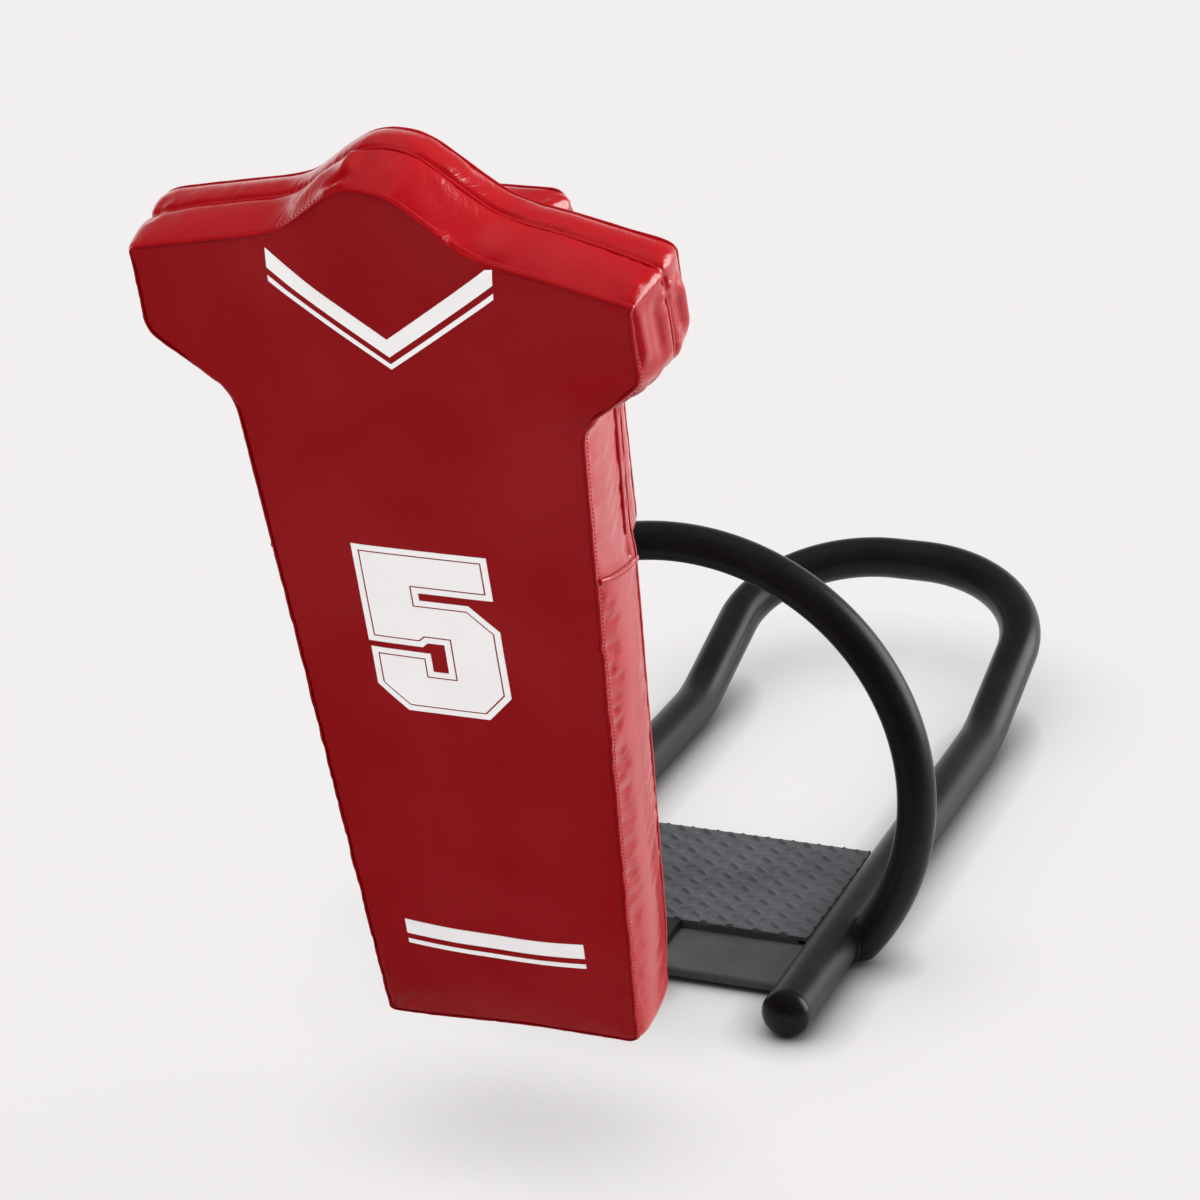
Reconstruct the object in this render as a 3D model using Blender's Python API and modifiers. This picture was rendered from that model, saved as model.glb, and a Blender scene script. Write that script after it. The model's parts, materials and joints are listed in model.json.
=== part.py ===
# Pop-up tackle dummy: a padded T-shaped target on a hinged mast, carried by a
# bent tube base with a roll hoop and a tread plate that the coach stands on.
# Blender 4.5. Sizes are in metres, angles in radians, +Z is up.
# X runs across the base, -Y points at the player and +Y at the coach.

import math

import bmesh
import bpy
import numpy as np
from mathutils import Matrix, Vector

object_name = "pop_up_tackle_dummy"

# Clearance between pieces that touch or are welded
gap = 0.0003

# Base tube: two rails on the ground and the raised loop behind them
rail_od = 0.0603
rail_wall = 0.0032
rail_spacing = 0.425
rail_length = 0.890
rail_bend_radius = 0.120
loop_length = 0.381
loop_rise = math.radians(18.0)
loop_corner_radius = 0.190
tube_side_steps = 8

# Roll hoop across the rails
hoop_od = 0.0483
hoop_wall = 0.0032
hoop_radius = 0.308
hoop_centre_height = 0.220
hoop_setback = 0.216
hoop_foot_height = 0.010
hoop_segments = 40

# Domed plugs in the front ends of the rails
cap_dome = 0.022
cap_plug_length = 0.025

# Plates between the rails
tread_thickness = 0.006
plate_edge = 0.0008
tread_front = 0.200
tread_back = 0.472
front_plate_thickness = 0.005
front_plate_front = 0.090
front_plate_drop = 0.012
front_lip_height = 0.011
plate_overlap = 0.022
angle_leg = 0.020
angle_thickness = 0.003
cross_angle_inset = 0.030

# Lug on the front plate that carries the mast
lug_thickness = 0.016
lug_boss_radius = 0.022
lug_shoulder = 0.115
lug_toe = 0.020
lug_nose_depth = 0.030
lug_fillet = 0.010
lug_nose_fillet = 0.005
lug_crown_fillet = 0.013
lug_crown_front = 0.011
pivot_setback = 0.062
pivot_height = 0.068

# Pivot bolt and what is threaded on it
bolt_diameter = 0.016
bolt_head_width = 0.024
bolt_head_height = 0.010
bolt_tail = 0.004
nut_height = 0.013
bush_wall = 0.003
washer_thickness = 0.0025
washer_od = 0.030
thrust_washer_thickness = 0.0024
thrust_washer_od = 0.040

# Mast: a bent square tube with a fork at its foot
mast_width = 0.0381
mast_wall = 0.003
mast_bend_radius = 0.110
mast_bend_height = 0.312
mast_top_height = 0.957
mast_foot_offset = 0.040
fork_thickness = 0.008
fork_radius = 0.024
fork_lap = 0.012
mast_cap_thickness = 0.004
mast_cap_plug = 0.015
cut_margin = 0.010

# Rubber stops
stop_from_pivot = 0.050
stop_length = 0.046
stop_width = 0.060
stop_plate_thickness = 0.008
bumper_thickness = 0.015
hoop_bumper_length = 0.060
hoop_bumper_thickness = 0.018
bumper_edge = 0.003

# Padded target, in its own leaning frame: x across, d back, h up from the foot.
# A rise is measured from the size above it
pad_lean = math.radians(16.0)
pad_foot_front = -0.338
pad_foot_height = 0.144
pad_layer = 0.053
pad_foot_half = 0.152
pad_waist_half = 0.190
pad_waist_height = 0.817
pad_shoulder_half = 0.277
pad_armpit_rise = 0.062
pad_shoulder_side = 0.104
pad_neck_half = 0.105
pad_neck_rise = 0.032
pad_crown_half = 0.020
pad_head_rise = 0.067
pad_foot_round = 0.012
pad_waist_round = 0.032
pad_armpit_round = 0.028
pad_shoulder_round = 0.026
pad_neck_round = 0.060
pad_head_round = 0.045
pad_seam_inset = 0.004
pad_shoulder_inset = 0.010
pad_crown = 0.008
crown_fade = 0.100
pad_columns = 8
longest_row = 0.110

# Board inside the rear layer
board_thickness = 0.009
board_half = 0.120
board_rise = 0.020
board_cover = 0.008

# Sleeve block on the pad's back, which slips over the mast
block_foot_height = 0.590
block_foot_half = 0.170
block_waist_half = 0.175
block_top_half = 0.140
block_head = 0.034
block_wall = 0.0035
block_round = 0.018
block_shoulder_round = 0.120
block_inset = 0.005
block_crown = 0.004
sleeve_clearance = 0.0006

# Worked out from the sizes above
rail_radius = rail_od / 2
hoop_tube_radius = hoop_od / 2
rail_x = rail_spacing / 2
bolt_radius = bolt_diameter / 2
hole_radius = bolt_radius + gap
mast_half = mast_width / 2
tread_top = rail_radius
front_plate_top = tread_top - front_plate_drop
armpit_height = pad_waist_height + pad_armpit_rise
shoulder_height = armpit_height + pad_shoulder_side
neck_height = shoulder_height + pad_neck_rise
pad_height = neck_height + pad_head_rise
board_height = armpit_height + board_rise
pad_back = 2 * pad_layer + gap
block_front = pad_back + gap
mast_depth = block_front + block_wall + sleeve_clearance + mast_half
block_back = mast_depth + mast_half + sleeve_clearance + block_wall
sleeve_top = mast_top_height + mast_cap_thickness + 2 * gap
block_height = sleeve_top + block_head
lug_half = lug_thickness / 2
fork_inner = lug_half + thrust_washer_thickness + 2 * gap
fork_outer = mast_half


def clear_scene():
    for scene_object in list(bpy.data.objects):
        bpy.data.objects.remove(scene_object, do_unlink=True)


def new_collection(name):
    collection = bpy.data.collections.new(name)
    bpy.context.scene.collection.children.link(collection)
    return collection


def new_material(name, colour, roughness, metallic=0.0):
    material = bpy.data.materials.new(name)
    material.use_nodes = True
    shader = material.node_tree.nodes["Principled BSDF"]
    shader.inputs["Base Color"].default_value = (*colour, 1.0)
    shader.inputs["Roughness"].default_value = roughness
    shader.inputs["Metallic"].default_value = metallic
    material.diffuse_color = (*colour, 1.0)
    return material


def add_object(name, data, material=None, parent=None, location=(0, 0, 0), rotation=(0, 0, 0)):
    scene_object = bpy.data.objects.new(name, data)
    scene_object.location = location
    scene_object.rotation_euler = rotation
    scene_object.parent = parent
    if material is None:
        cutters.objects.link(scene_object)
        scene_object.hide_render = True
        scene_object.display_type = "WIRE"
    else:
        data.materials.append(material)
        parts.objects.link(scene_object)
    return scene_object


def add_empty(name, parent, location, rotation=(0, 0, 0)):
    empty = bpy.data.objects.new(name, None)
    empty.location = location
    empty.rotation_euler = rotation
    empty.parent = parent
    bpy.context.scene.collection.objects.link(empty)
    return empty


def mesh_from(bm, name, smooth=True):
    bmesh.ops.remove_doubles(bm, verts=bm.verts, dist=1e-6)
    bmesh.ops.recalc_face_normals(bm, faces=bm.faces)
    mesh = bpy.data.meshes.new(name)
    bm.to_mesh(mesh)
    bm.free()
    if smooth:
        mesh.shade_smooth()
        mesh.set_sharp_from_angle(angle=math.radians(35.0))
    return mesh


def box_mesh(name, size):
    bm = bmesh.new()
    bmesh.ops.create_cube(bm, size=1.0, matrix=Matrix.Diagonal((*size, 1.0)))
    return mesh_from(bm, name, smooth=False)


def rod_mesh(name, radius, length, segments=24):
    # Stands along local Z, centred on the origin
    bm = bmesh.new()
    bmesh.ops.create_cone(
        bm, cap_ends=True, segments=segments, radius1=radius, radius2=radius, depth=length
    )
    return mesh_from(bm, name)


def hex_mesh(name, width_across_flats, length):
    return rod_mesh(name, width_across_flats / math.sqrt(3.0), length, segments=6)


def curve_to_mesh(curve, name):
    # The curve's evaluated surface, with its loose caps welded
    holder = bpy.data.objects.new(name, curve)
    bpy.context.scene.collection.objects.link(holder)
    graph = bpy.context.evaluated_depsgraph_get()
    mesh = bpy.data.meshes.new_from_object(holder.evaluated_get(graph))
    bpy.data.objects.remove(holder)
    bm = bmesh.new()
    bm.from_mesh(mesh)
    bpy.data.meshes.remove(mesh)
    return mesh_from(bm, name)


def outline_mesh(name, points, thickness):
    # A flat outline in local XY, thickened evenly to both sides of Z = 0
    curve = bpy.data.curves.new(name, "CURVE")
    curve.dimensions = "2D"
    curve.fill_mode = "BOTH"
    curve.extrude = thickness / 2
    spline = curve.splines.new("POLY")
    spline.points.add(len(points) - 1)
    for spline_point, (across, up) in zip(spline.points, points):
        spline_point.co = (across, up, 0.0, 1.0)
    spline.use_cyclic_u = True
    return curve_to_mesh(curve, name)


def pipe_mesh(name, path, radius):
    # An open tube surface along a path
    curve = bpy.data.curves.new(name, "CURVE")
    curve.dimensions = "3D"
    curve.bevel_depth = radius
    curve.bevel_resolution = tube_side_steps
    curve.use_fill_caps = False
    spline = curve.splines.new("POLY")
    spline.points.add(len(path) - 1)
    for spline_point, place in zip(spline.points, path):
        spline_point.co = (*place, 1.0)
    return curve_to_mesh(curve, name)


def add_wall(scene_object, thickness):
    solidify = scene_object.modifiers.new("wall", "SOLIDIFY")
    solidify.thickness = thickness
    solidify.offset = -1.0


def add_bevel(scene_object, width, segments=2):
    bevel = scene_object.modifiers.new("edges", "BEVEL")
    bevel.width = width
    bevel.segments = segments
    bevel.limit_method = "ANGLE"


def add_boolean(scene_object, other, operation):
    boolean = scene_object.modifiers.new(operation.lower(), "BOOLEAN")
    boolean.operation = operation
    boolean.solver = "EXACT"
    boolean.object = other


def cut(scene_object, cutter):
    add_boolean(scene_object, cutter, "DIFFERENCE")


def join(scene_object, other):
    add_boolean(scene_object, other, "UNION")


def turned_object(name, profile, material, parent, location, rotation):
    # The profile's (radius, height) points run down its outer side
    mesh = bpy.data.meshes.new(name)
    verts = [(radius, 0.0, height) for radius, height in profile]
    closed = profile[0][0] > 0.0
    edges = [(i, i + 1) for i in range(len(profile) - 1)]
    if closed:
        edges.append((len(profile) - 1, 0))
    mesh.from_pydata(verts, edges, [])
    turned = add_object(name, mesh, material, parent, location, rotation)
    screw = turned.modifiers.new("turn", "SCREW")
    screw.steps = 24
    screw.render_steps = 24
    screw.use_merge_vertices = True
    screw.merge_threshold = 1e-5
    screw.use_smooth_shade = False
    return turned


def ring_profile(inner, outer, length):
    half = length / 2
    return [(outer, half), (outer, -half), (inner, -half), (inner, half)]


def arc_points(before, corner, after, radius, turn_step):
    # Points of the arc that rounds one corner of a path
    to_before = (before - corner).normalized()
    to_after = (after - corner).normalized()
    inside = to_before.angle(to_after)
    reach = radius / math.tan(inside / 2)
    centre = corner + (to_before + to_after).normalized() * (radius / math.sin(inside / 2))
    start = corner + to_before * reach - centre
    axis = start.cross(corner + to_after * reach - centre).normalized()
    turn = math.pi - inside
    steps = max(2, math.ceil(turn / turn_step))
    return [centre + Matrix.Rotation(turn * i / steps, 3, axis) @ start for i in range(steps + 1)]


def rounded_path(corners, turn_step=math.radians(8.0)):
    # Each corner is (point, radius); the first and last stay sharp
    points = [Vector(point) for point, radius in corners]
    path = [points[0]]
    for i in range(1, len(points) - 1):
        radius = corners[i][1]
        if radius > 0.0:
            path += arc_points(points[i - 1], points[i], points[i + 1], radius, turn_step)
        else:
            path.append(points[i])
    path.append(points[-1])
    return path


def rounded_outline(corners, turn_step=math.radians(15.0)):
    path = rounded_path([((across, up, 0.0), radius) for (across, up), radius in corners], turn_step)
    return [(place.x, place.y) for place in path]


# Side views are drawn in local XY: local X is world Y and local Y is world Z
side_view = (math.pi / 2, 0.0, math.pi / 2)


def make_base_tube():
    back = rail_length + loop_length * math.cos(loop_rise)
    top = loop_length * math.sin(loop_rise)
    half = [
        ((rail_x, 0.0, 0.0), 0.0),
        ((rail_x, rail_length, 0.0), rail_bend_radius),
        ((rail_x, back, top), loop_corner_radius),
    ]
    mirrored = [((-point[0], point[1], point[2]), radius) for point, radius in reversed(half)]
    tube = add_object(
        "base_tube",
        pipe_mesh("base_tube", rounded_path(half + mirrored), rail_radius),
        black_steel,
        root,
        (0, 0, rail_radius),
    )
    add_wall(tube, rail_wall)


def make_rail_cutter(side):
    return add_object(
        f"rail_cutter_{side:+d}",
        rod_mesh("rail_cutter", rail_radius + gap, 0.3, segments=48),
        None,
        root,
        (side * rail_x, hoop_setback, rail_radius),
        (math.pi / 2, 0, 0),
    )


def make_roll_hoop():
    outer = hoop_radius + hoop_tube_radius
    end_angle = math.acos((hoop_foot_height - hoop_centre_height) / outer)
    path = []
    for i in range(hoop_segments + 1):
        angle = end_angle * (2 * i / hoop_segments - 1)
        path.append(Vector((hoop_radius * math.sin(angle), 0.0, hoop_radius * math.cos(angle))))
    hoop = add_object(
        "roll_hoop",
        pipe_mesh("roll_hoop", path, hoop_tube_radius),
        black_steel,
        root,
        (0, hoop_setback, hoop_centre_height),
    )
    add_wall(hoop, hoop_wall)
    for side in (-1, 1):
        cut(hoop, make_rail_cutter(side))


def make_end_caps():
    bore_sides = 4 + 2 * tube_side_steps
    plug_radius = (rail_radius - rail_wall) * math.cos(math.pi / bore_sides) - gap
    steps = 8
    profile = []
    for i in range(steps + 1):
        angle = math.pi / 2 * i / steps
        profile.append((rail_radius * math.sin(angle), cap_dome * math.cos(angle)))
    profile[0] = (0.0, cap_dome)
    profile += [(plug_radius, 0.0), (plug_radius, -cap_plug_length), (0.0, -cap_plug_length)]
    for name, side in (("end_cap_left", -1), ("end_cap_right", 1)):
        turned_object(
            name,
            profile,
            black_plastic,
            root,
            (side * rail_x, -gap, rail_radius),
            (math.pi / 2, 0, 0),
        )


def plate_half_width(low, high):
    # Widest half width between the rails for a plate between two heights
    nearest = min(abs(low - rail_radius), abs(high - rail_radius))
    if low <= rail_radius <= high:
        nearest = 0.0
    return rail_x - math.sqrt(rail_radius**2 - nearest**2) - gap


def make_tread_plate():
    bottom = tread_top - tread_thickness
    width = 2 * plate_half_width(bottom, tread_top)
    size = (width, tread_back - tread_front, tread_thickness)
    centre = (0, (tread_front + tread_back) / 2, (bottom + tread_top) / 2)
    plate = add_object("tread_plate", box_mesh("tread_plate", size), tread_steel, root, centre)
    add_bevel(plate, plate_edge, 1)


def make_front_plate():
    bottom = front_plate_top - front_plate_thickness
    lip_bottom = front_plate_top - front_lip_height
    back = tread_front + plate_overlap
    inner = front_plate_front + front_plate_thickness
    outline = [
        ((back, front_plate_top), 0.0),
        ((front_plate_front, front_plate_top), front_plate_thickness),
        ((front_plate_front, lip_bottom), 0.0),
        ((inner, lip_bottom), 0.0),
        ((inner, bottom), 0.0),
        ((back, bottom), 0.0),
    ]
    width = 2 * plate_half_width(lip_bottom, front_plate_top)
    mesh = outline_mesh("front_plate", rounded_outline(outline), width)
    add_object("front_plate", mesh, plate_steel, root, (0, 0, 0), side_view)


def make_step_bar():
    # Packs the drop between the tread plate and the front plate
    low = front_plate_top + gap
    high = tread_top - tread_thickness - gap
    width = 2 * (plate_half_width(low, high) - angle_leg)
    size = (width, plate_overlap - gap, high - low)
    centre = (0, tread_front + plate_overlap / 2, (low + high) / 2)
    add_object("step_bar", box_mesh("step_bar", size), plate_steel, root, centre)


def make_side_angles():
    top = tread_top - tread_thickness - gap
    low = top - angle_leg
    outer = plate_half_width(low, tread_top)
    front = tread_front + plate_overlap + gap
    length = tread_back - front
    outline = [
        (outer, top),
        (outer, low),
        (outer - angle_thickness, low),
        (outer - angle_thickness, top - angle_thickness),
        (outer - angle_leg, top - angle_thickness),
        (outer - angle_leg, top),
    ]
    for name, side in (("side_angle_left", -1), ("side_angle_right", 1)):
        points = [(side * across, up) for across, up in outline]
        mesh = outline_mesh(name, points, length)
        add_object(name, mesh, plate_steel, root, (0, front + length / 2, 0), (math.pi / 2, 0, 0))


def make_cross_angles():
    # Two angles across the underside of the tread plate
    top = tread_top - tread_thickness - gap
    half = plate_half_width(top - angle_leg, tread_top) - angle_leg - gap
    middle = (tread_front + tread_back) / 2
    rear = tread_back - cross_angle_inset
    for name, place in (("cross_angle_middle", middle), ("cross_angle_rear", rear)):
        outline = [
            (place, top),
            (place + angle_leg, top),
            (place + angle_leg, top - angle_thickness),
            (place + angle_thickness, top - angle_thickness),
            (place + angle_thickness, top - angle_leg),
            (place, top - angle_leg),
        ]
        mesh = outline_mesh(name, outline, 2 * half)
        add_object(name, mesh, plate_steel, root, (0, 0, 0), side_view)


def pad_to_side(height, depth):
    # Pad frame to the side view: world Y and Z
    across = pad_foot_front - height * math.sin(pad_lean) + depth * math.cos(pad_lean)
    up = pad_foot_height + height * math.cos(pad_lean) + depth * math.sin(pad_lean)
    return Vector((across, up))


def arm_frame():
    # Unit vectors along the mast's lower arm and out of its front face
    pivot = Vector((pivot_setback, pivot_height))
    along = (pad_to_side(mast_bend_height, mast_depth) - pivot).normalized()
    forward = Vector((-along.y, along.x))
    return pivot, along, forward


def arm_point(distance, offset):
    pivot, along, forward = arm_frame()
    return pivot + along * distance + forward * offset


def stop_offsets():
    # Distances of the rest stop's faces from the arm's centre line
    rubber_top = mast_half + gap
    rubber_bottom = rubber_top + bumper_thickness
    plate_top = rubber_bottom + gap
    plate_bottom = plate_top + stop_plate_thickness
    return rubber_top, rubber_bottom, plate_top, plate_bottom


def make_lug():
    nose = stop_offsets()[3] + gap
    far = stop_from_pivot + stop_length
    foot = front_plate_top + gap
    back = tread_front - gap
    boss_back = pivot_setback + lug_boss_radius
    boss_top = pivot_height + lug_boss_radius
    corners = [
        ((back, foot), 0.0),
        ((back, tread_top), 0.0),
        ((lug_shoulder, tread_top), lug_fillet),
        ((boss_back, pivot_height), lug_fillet),
        ((boss_back, boss_top), lug_crown_fillet),
        ((pivot_setback - lug_crown_front, boss_top), lug_fillet),
        (tuple(arm_point(mast_foot_offset, nose)), lug_nose_fillet),
        (tuple(arm_point(far, nose)), 0.0),
        (tuple(arm_point(far, nose + lug_nose_depth)), lug_fillet),
        ((lug_toe, foot), lug_fillet),
    ]
    closed = rounded_outline(corners + [corners[0]])[:-1]
    lug = add_object(
        "pivot_lug", outline_mesh("pivot_lug", closed, lug_thickness), black_steel, root,
        (0, 0, 0), side_view,
    )
    bore = add_object(
        "lug_bore",
        rod_mesh("lug_bore", hole_radius + bush_wall + gap, 3 * lug_thickness),
        None,
        root,
        (0, pivot_setback, pivot_height),
        (0, math.pi / 2, 0),
    )
    cut(lug, bore)


def stop_block(name, length, width, low, high, middle, material, parent, origin):
    # A block whose faces lie along the arm, between two distances from its centre line
    along = arm_frame()[1]
    centre = arm_point(middle, (low + high) / 2) - origin
    tilt = math.atan2(along.y, along.x) - math.pi / 2
    mesh = box_mesh(name, (width, abs(high - low), length))
    return add_object(
        name, mesh, material, parent, (0, centre.x, centre.y), (tilt, 0, 0)
    )


def make_rest_stop():
    rubber_top, rubber_bottom, plate_top, plate_bottom = stop_offsets()
    middle = stop_from_pivot + stop_length / 2
    origin = Vector((0.0, 0.0))
    rubber = stop_block(
        "rest_bumper", stop_length - 2 * bumper_edge, mast_width, rubber_top, rubber_bottom,
        middle, black_rubber, root, origin,
    )
    add_bevel(rubber, bumper_edge)
    stop_block(
        "stop_plate", stop_length, stop_width, plate_top, plate_bottom,
        middle, black_steel, root, origin,
    )


def make_pivot_stack():
    across = (0, math.pi / 2, 0)
    turned_object(
        "lug_bush",
        ring_profile(hole_radius, hole_radius + bush_wall, lug_thickness),
        bronze,
        root,
        (0, pivot_setback, pivot_height),
        across,
    )
    thrust_x = lug_half + gap + thrust_washer_thickness / 2
    washer_x = fork_outer + gap + washer_thickness / 2
    rings = (
        ("thrust_washer_left", -thrust_x, thrust_washer_od, thrust_washer_thickness, white_nylon),
        ("thrust_washer_right", thrust_x, thrust_washer_od, thrust_washer_thickness, white_nylon),
        ("nut_washer", -washer_x, washer_od, washer_thickness, zinc),
        ("head_washer", washer_x, washer_od, washer_thickness, zinc),
    )
    for name, place, diameter, thickness, material in rings:
        profile = ring_profile(hole_radius, diameter / 2, thickness)
        turned_object(name, profile, material, mast_pivot, (place, 0, 0), across)

    seat = fork_outer + washer_thickness + 2 * gap
    tail = seat + nut_height + bolt_tail
    shank_length = tail + seat + bolt_head_height / 2
    bolt = add_object(
        "pivot_bolt",
        hex_mesh("pivot_bolt", bolt_head_width, bolt_head_height),
        zinc,
        mast_pivot,
        (seat + bolt_head_height / 2, 0, 0),
        across,
    )
    shank = add_object(
        "bolt_shank",
        rod_mesh("bolt_shank", bolt_radius, shank_length),
        None,
        mast_pivot,
        (seat + bolt_head_height / 2 - shank_length / 2, 0, 0),
        across,
    )
    join(bolt, shank)
    nut = add_object(
        "pivot_nut",
        hex_mesh("pivot_nut", bolt_head_width, nut_height),
        zinc,
        mast_pivot,
        (-seat - nut_height / 2, 0, 0),
        across,
    )
    nut_bore = add_object(
        "nut_bore", rod_mesh("nut_bore", hole_radius, 3 * nut_height), None, mast_pivot,
        (-seat - nut_height / 2, 0, 0), across,
    )
    cut(nut, nut_bore)


def mast_line(foot, top):
    # Centre line of the mast in the side view, from the pivot's frame
    pivot = Vector((pivot_setback, pivot_height))
    corners = [
        (tuple(arm_point(foot, 0.0) - pivot), 0.0),
        (tuple(pad_to_side(mast_bend_height, mast_depth) - pivot), mast_bend_radius),
        (tuple(pad_to_side(top, mast_depth) - pivot), 0.0),
    ]
    return [Vector(point) for point in rounded_outline(corners, math.radians(5.0))]


def band_outline(line, half):
    # The outline of a band of even width along a line
    front = []
    back = []
    for i, place in enumerate(line):
        before = line[max(i - 1, 0)]
        after = line[min(i + 1, len(line) - 1)]
        direction = (after - before).normalized()
        normal = Vector((-direction.y, direction.x))
        front.append(tuple(place + normal * half))
        back.append(tuple(place - normal * half))
    return front + back[::-1]


def make_fork_plate(side):
    # One ear of the fork, from round the bolt to inside the tube's foot
    pivot, along, forward = arm_frame()
    end = mast_foot_offset + fork_lap
    turn = math.atan2(along.y, along.x)
    points = []
    for i in range(13):
        angle = turn + math.pi / 2 + math.pi * i / 12
        points.append((fork_radius * math.cos(angle), fork_radius * math.sin(angle)))
    for offset in (-mast_half, mast_half):
        points.append(tuple(along * end + forward * offset))
    place = side * (fork_outer - fork_thickness / 2)
    return add_object(
        f"fork_ear_{side:+d}", outline_mesh("fork_ear", points, fork_thickness), None,
        mast_pivot, (place, 0, 0), side_view,
    )


def make_mast():
    outline = band_outline(mast_line(mast_foot_offset, mast_top_height), mast_half)
    mast = add_object(
        "mast", outline_mesh("mast", outline, mast_width), black_steel, mast_pivot,
        (0, 0, 0), side_view,
    )
    bore_line = mast_line(mast_foot_offset + fork_thickness, mast_top_height + cut_margin)
    bore_outline = band_outline(bore_line, mast_half - mast_wall)
    bore = add_object(
        "mast_bore", outline_mesh("mast_bore", bore_outline, mast_width - 2 * mast_wall), None,
        mast_pivot, (0, 0, 0), side_view,
    )
    cut(mast, bore)
    for side in (-1, 1):
        join(mast, make_fork_plate(side))
    bolt_hole = add_object(
        "fork_bore", rod_mesh("fork_bore", hole_radius, 2 * mast_width), None, mast_pivot,
        (0, 0, 0), (0, math.pi / 2, 0),
    )
    cut(mast, bolt_hole)


def make_mast_cap():
    plug_half = mast_half - mast_wall - gap
    size = (mast_width, mast_width, mast_cap_thickness)
    centre = Vector((0, mast_depth, mast_top_height + gap + mast_cap_thickness / 2))
    cap = add_object("mast_cap", box_mesh("mast_cap", size), black_plastic, mast_seat, centre)
    plug = add_object(
        "cap_plug",
        box_mesh("cap_plug", (2 * plug_half, 2 * plug_half, mast_cap_plug)),
        None,
        mast_seat,
        centre - Vector((0, 0, mast_cap_plug / 2)),
    )
    join(cap, plug)


def hoop_contact():
    # Where the bumper on the arm meets the hoop, and the swing that takes it there
    hoop_top = Vector((hoop_setback, hoop_centre_height + hoop_radius))
    pivot, along, forward = arm_frame()
    reach = hoop_top - pivot
    face = mast_half + gap + hoop_bumper_thickness
    offset = face + gap + hoop_tube_radius
    distance = math.sqrt(reach.length**2 - offset**2)
    lean_back = math.atan2(reach.x, reach.y) - math.asin(offset / reach.length)
    lean_forward = math.atan2(-along.x, along.y)
    return distance, lean_forward + lean_back


def make_hoop_bumper():
    distance = hoop_contact()[0]
    low = -(mast_half + gap)
    high = low - hoop_bumper_thickness
    bumper = stop_block(
        "hoop_bumper", hoop_bumper_length, mast_width, low, high, distance,
        black_rubber, mast_pivot, Vector((pivot_setback, pivot_height)),
    )
    add_bevel(bumper, bumper_edge)


def smooth_step(value, low, high):
    share = np.clip((value - low) / (high - low), 0.0, 1.0)
    return share * share * (3.0 - 2.0 * share)


def outline_normals(points):
    # Outward normals of a right-hand outline that runs from the foot to the top
    ahead = np.roll(points, -1, axis=0)
    behind = np.roll(points, 1, axis=0)
    ahead[-1] = points[-1] + (-1.0, 0.0)
    behind[0] = points[0] - (1.0, 0.0)
    first = ahead - points
    second = points - behind
    first /= np.linalg.norm(first, axis=1)[:, None]
    second /= np.linalg.norm(second, axis=1)[:, None]
    mean = first + second
    mean /= np.linalg.norm(mean, axis=1)[:, None]
    return np.column_stack((mean[:, 1], -mean[:, 0]))


def grid_faces(bm, grid):
    # Quads over an array of points with rows and columns
    rows, columns = grid.shape[:2]
    verts = [[bm.verts.new(grid[i, j]) for j in range(columns)] for i in range(rows)]
    for i in range(rows - 1):
        for j in range(columns - 1):
            bm.faces.new((verts[i][j], verts[i + 1][j], verts[i + 1][j + 1], verts[i][j + 1]))


def crown_height(across, heights, size, foot, top):
    # A crown that is full in the middle and dies out at the edges
    fade = smooth_step(heights, foot, foot + crown_fade)
    fade *= smooth_step(-heights, -top, -top + crown_fade)
    return size * (1.0 - across[None, :] ** 4) * fade[:, None]


def cushion_mesh(name, outline, stations, insets, front_crown, back_crown):
    # A padded slab: the outline is drawn in at each depth station by its own inset
    points = np.array(outline)
    normals = outline_normals(points)
    heights = points[:, 1]
    across = np.linspace(-1.0, 1.0, pad_columns + 1)
    foot, top = heights[0], heights[-1]
    edges = [points - normals * inset[:, None] for inset in insets]

    bm = bmesh.new()
    for station, edge, crown, outward in (
        (stations[0], edges[0], front_crown, -1.0),
        (stations[-1], edges[-1], back_crown, 1.0),
    ):
        face_x = edge[:, 0:1] * across[None, :]
        face_h = np.repeat(edge[:, 1:2], len(across), axis=1)
        face_d = station + outward * crown_height(across, heights, crown, foot, top)
        grid_faces(bm, np.stack((face_x, face_d, face_h), axis=2))
    edge_stack = np.array(edges)
    depth_stack = np.repeat(np.array(stations)[:, None], len(points), axis=1)
    for side in (-1.0, 1.0):
        grid_faces(bm, np.stack((side * edge_stack[:, :, 0], depth_stack, edge_stack[:, :, 1]), axis=2))
    for row in (0, -1):
        end_x = edge_stack[:, row, 0:1] * across[None, :]
        end_d = np.repeat(np.array(stations)[:, None], len(across), axis=1)
        end_h = np.repeat(edge_stack[:, row, 1:2], len(across), axis=1)
        grid_faces(bm, np.stack((end_x, end_d, end_h), axis=2))
    return mesh_from(bm, name)


def pad_outline():
    corners = [
        ((0.0, 0.0), 0.0),
        ((pad_foot_half, 0.0), pad_foot_round),
        ((pad_waist_half, pad_waist_height), pad_waist_round),
        ((pad_shoulder_half, armpit_height), pad_armpit_round),
        ((pad_shoulder_half, shoulder_height), pad_shoulder_round),
        ((pad_neck_half, neck_height), pad_neck_round),
        ((pad_crown_half, pad_height), pad_head_round),
        ((0.0, pad_height), 0.0),
    ]
    arcs = rounded_outline(corners)[1:-1]
    return spread_rows(arcs, longest_row)


def spread_rows(points, longest):
    # Adds points on the long straight runs
    spread = [points[0]]
    for before, after in zip(points, points[1:]):
        length = math.dist(before, after)
        steps = math.ceil(length / longest)
        for i in range(1, steps + 1):
            spread.append(tuple(Vector(before).lerp(Vector(after), i / steps)))
    return spread


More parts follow.
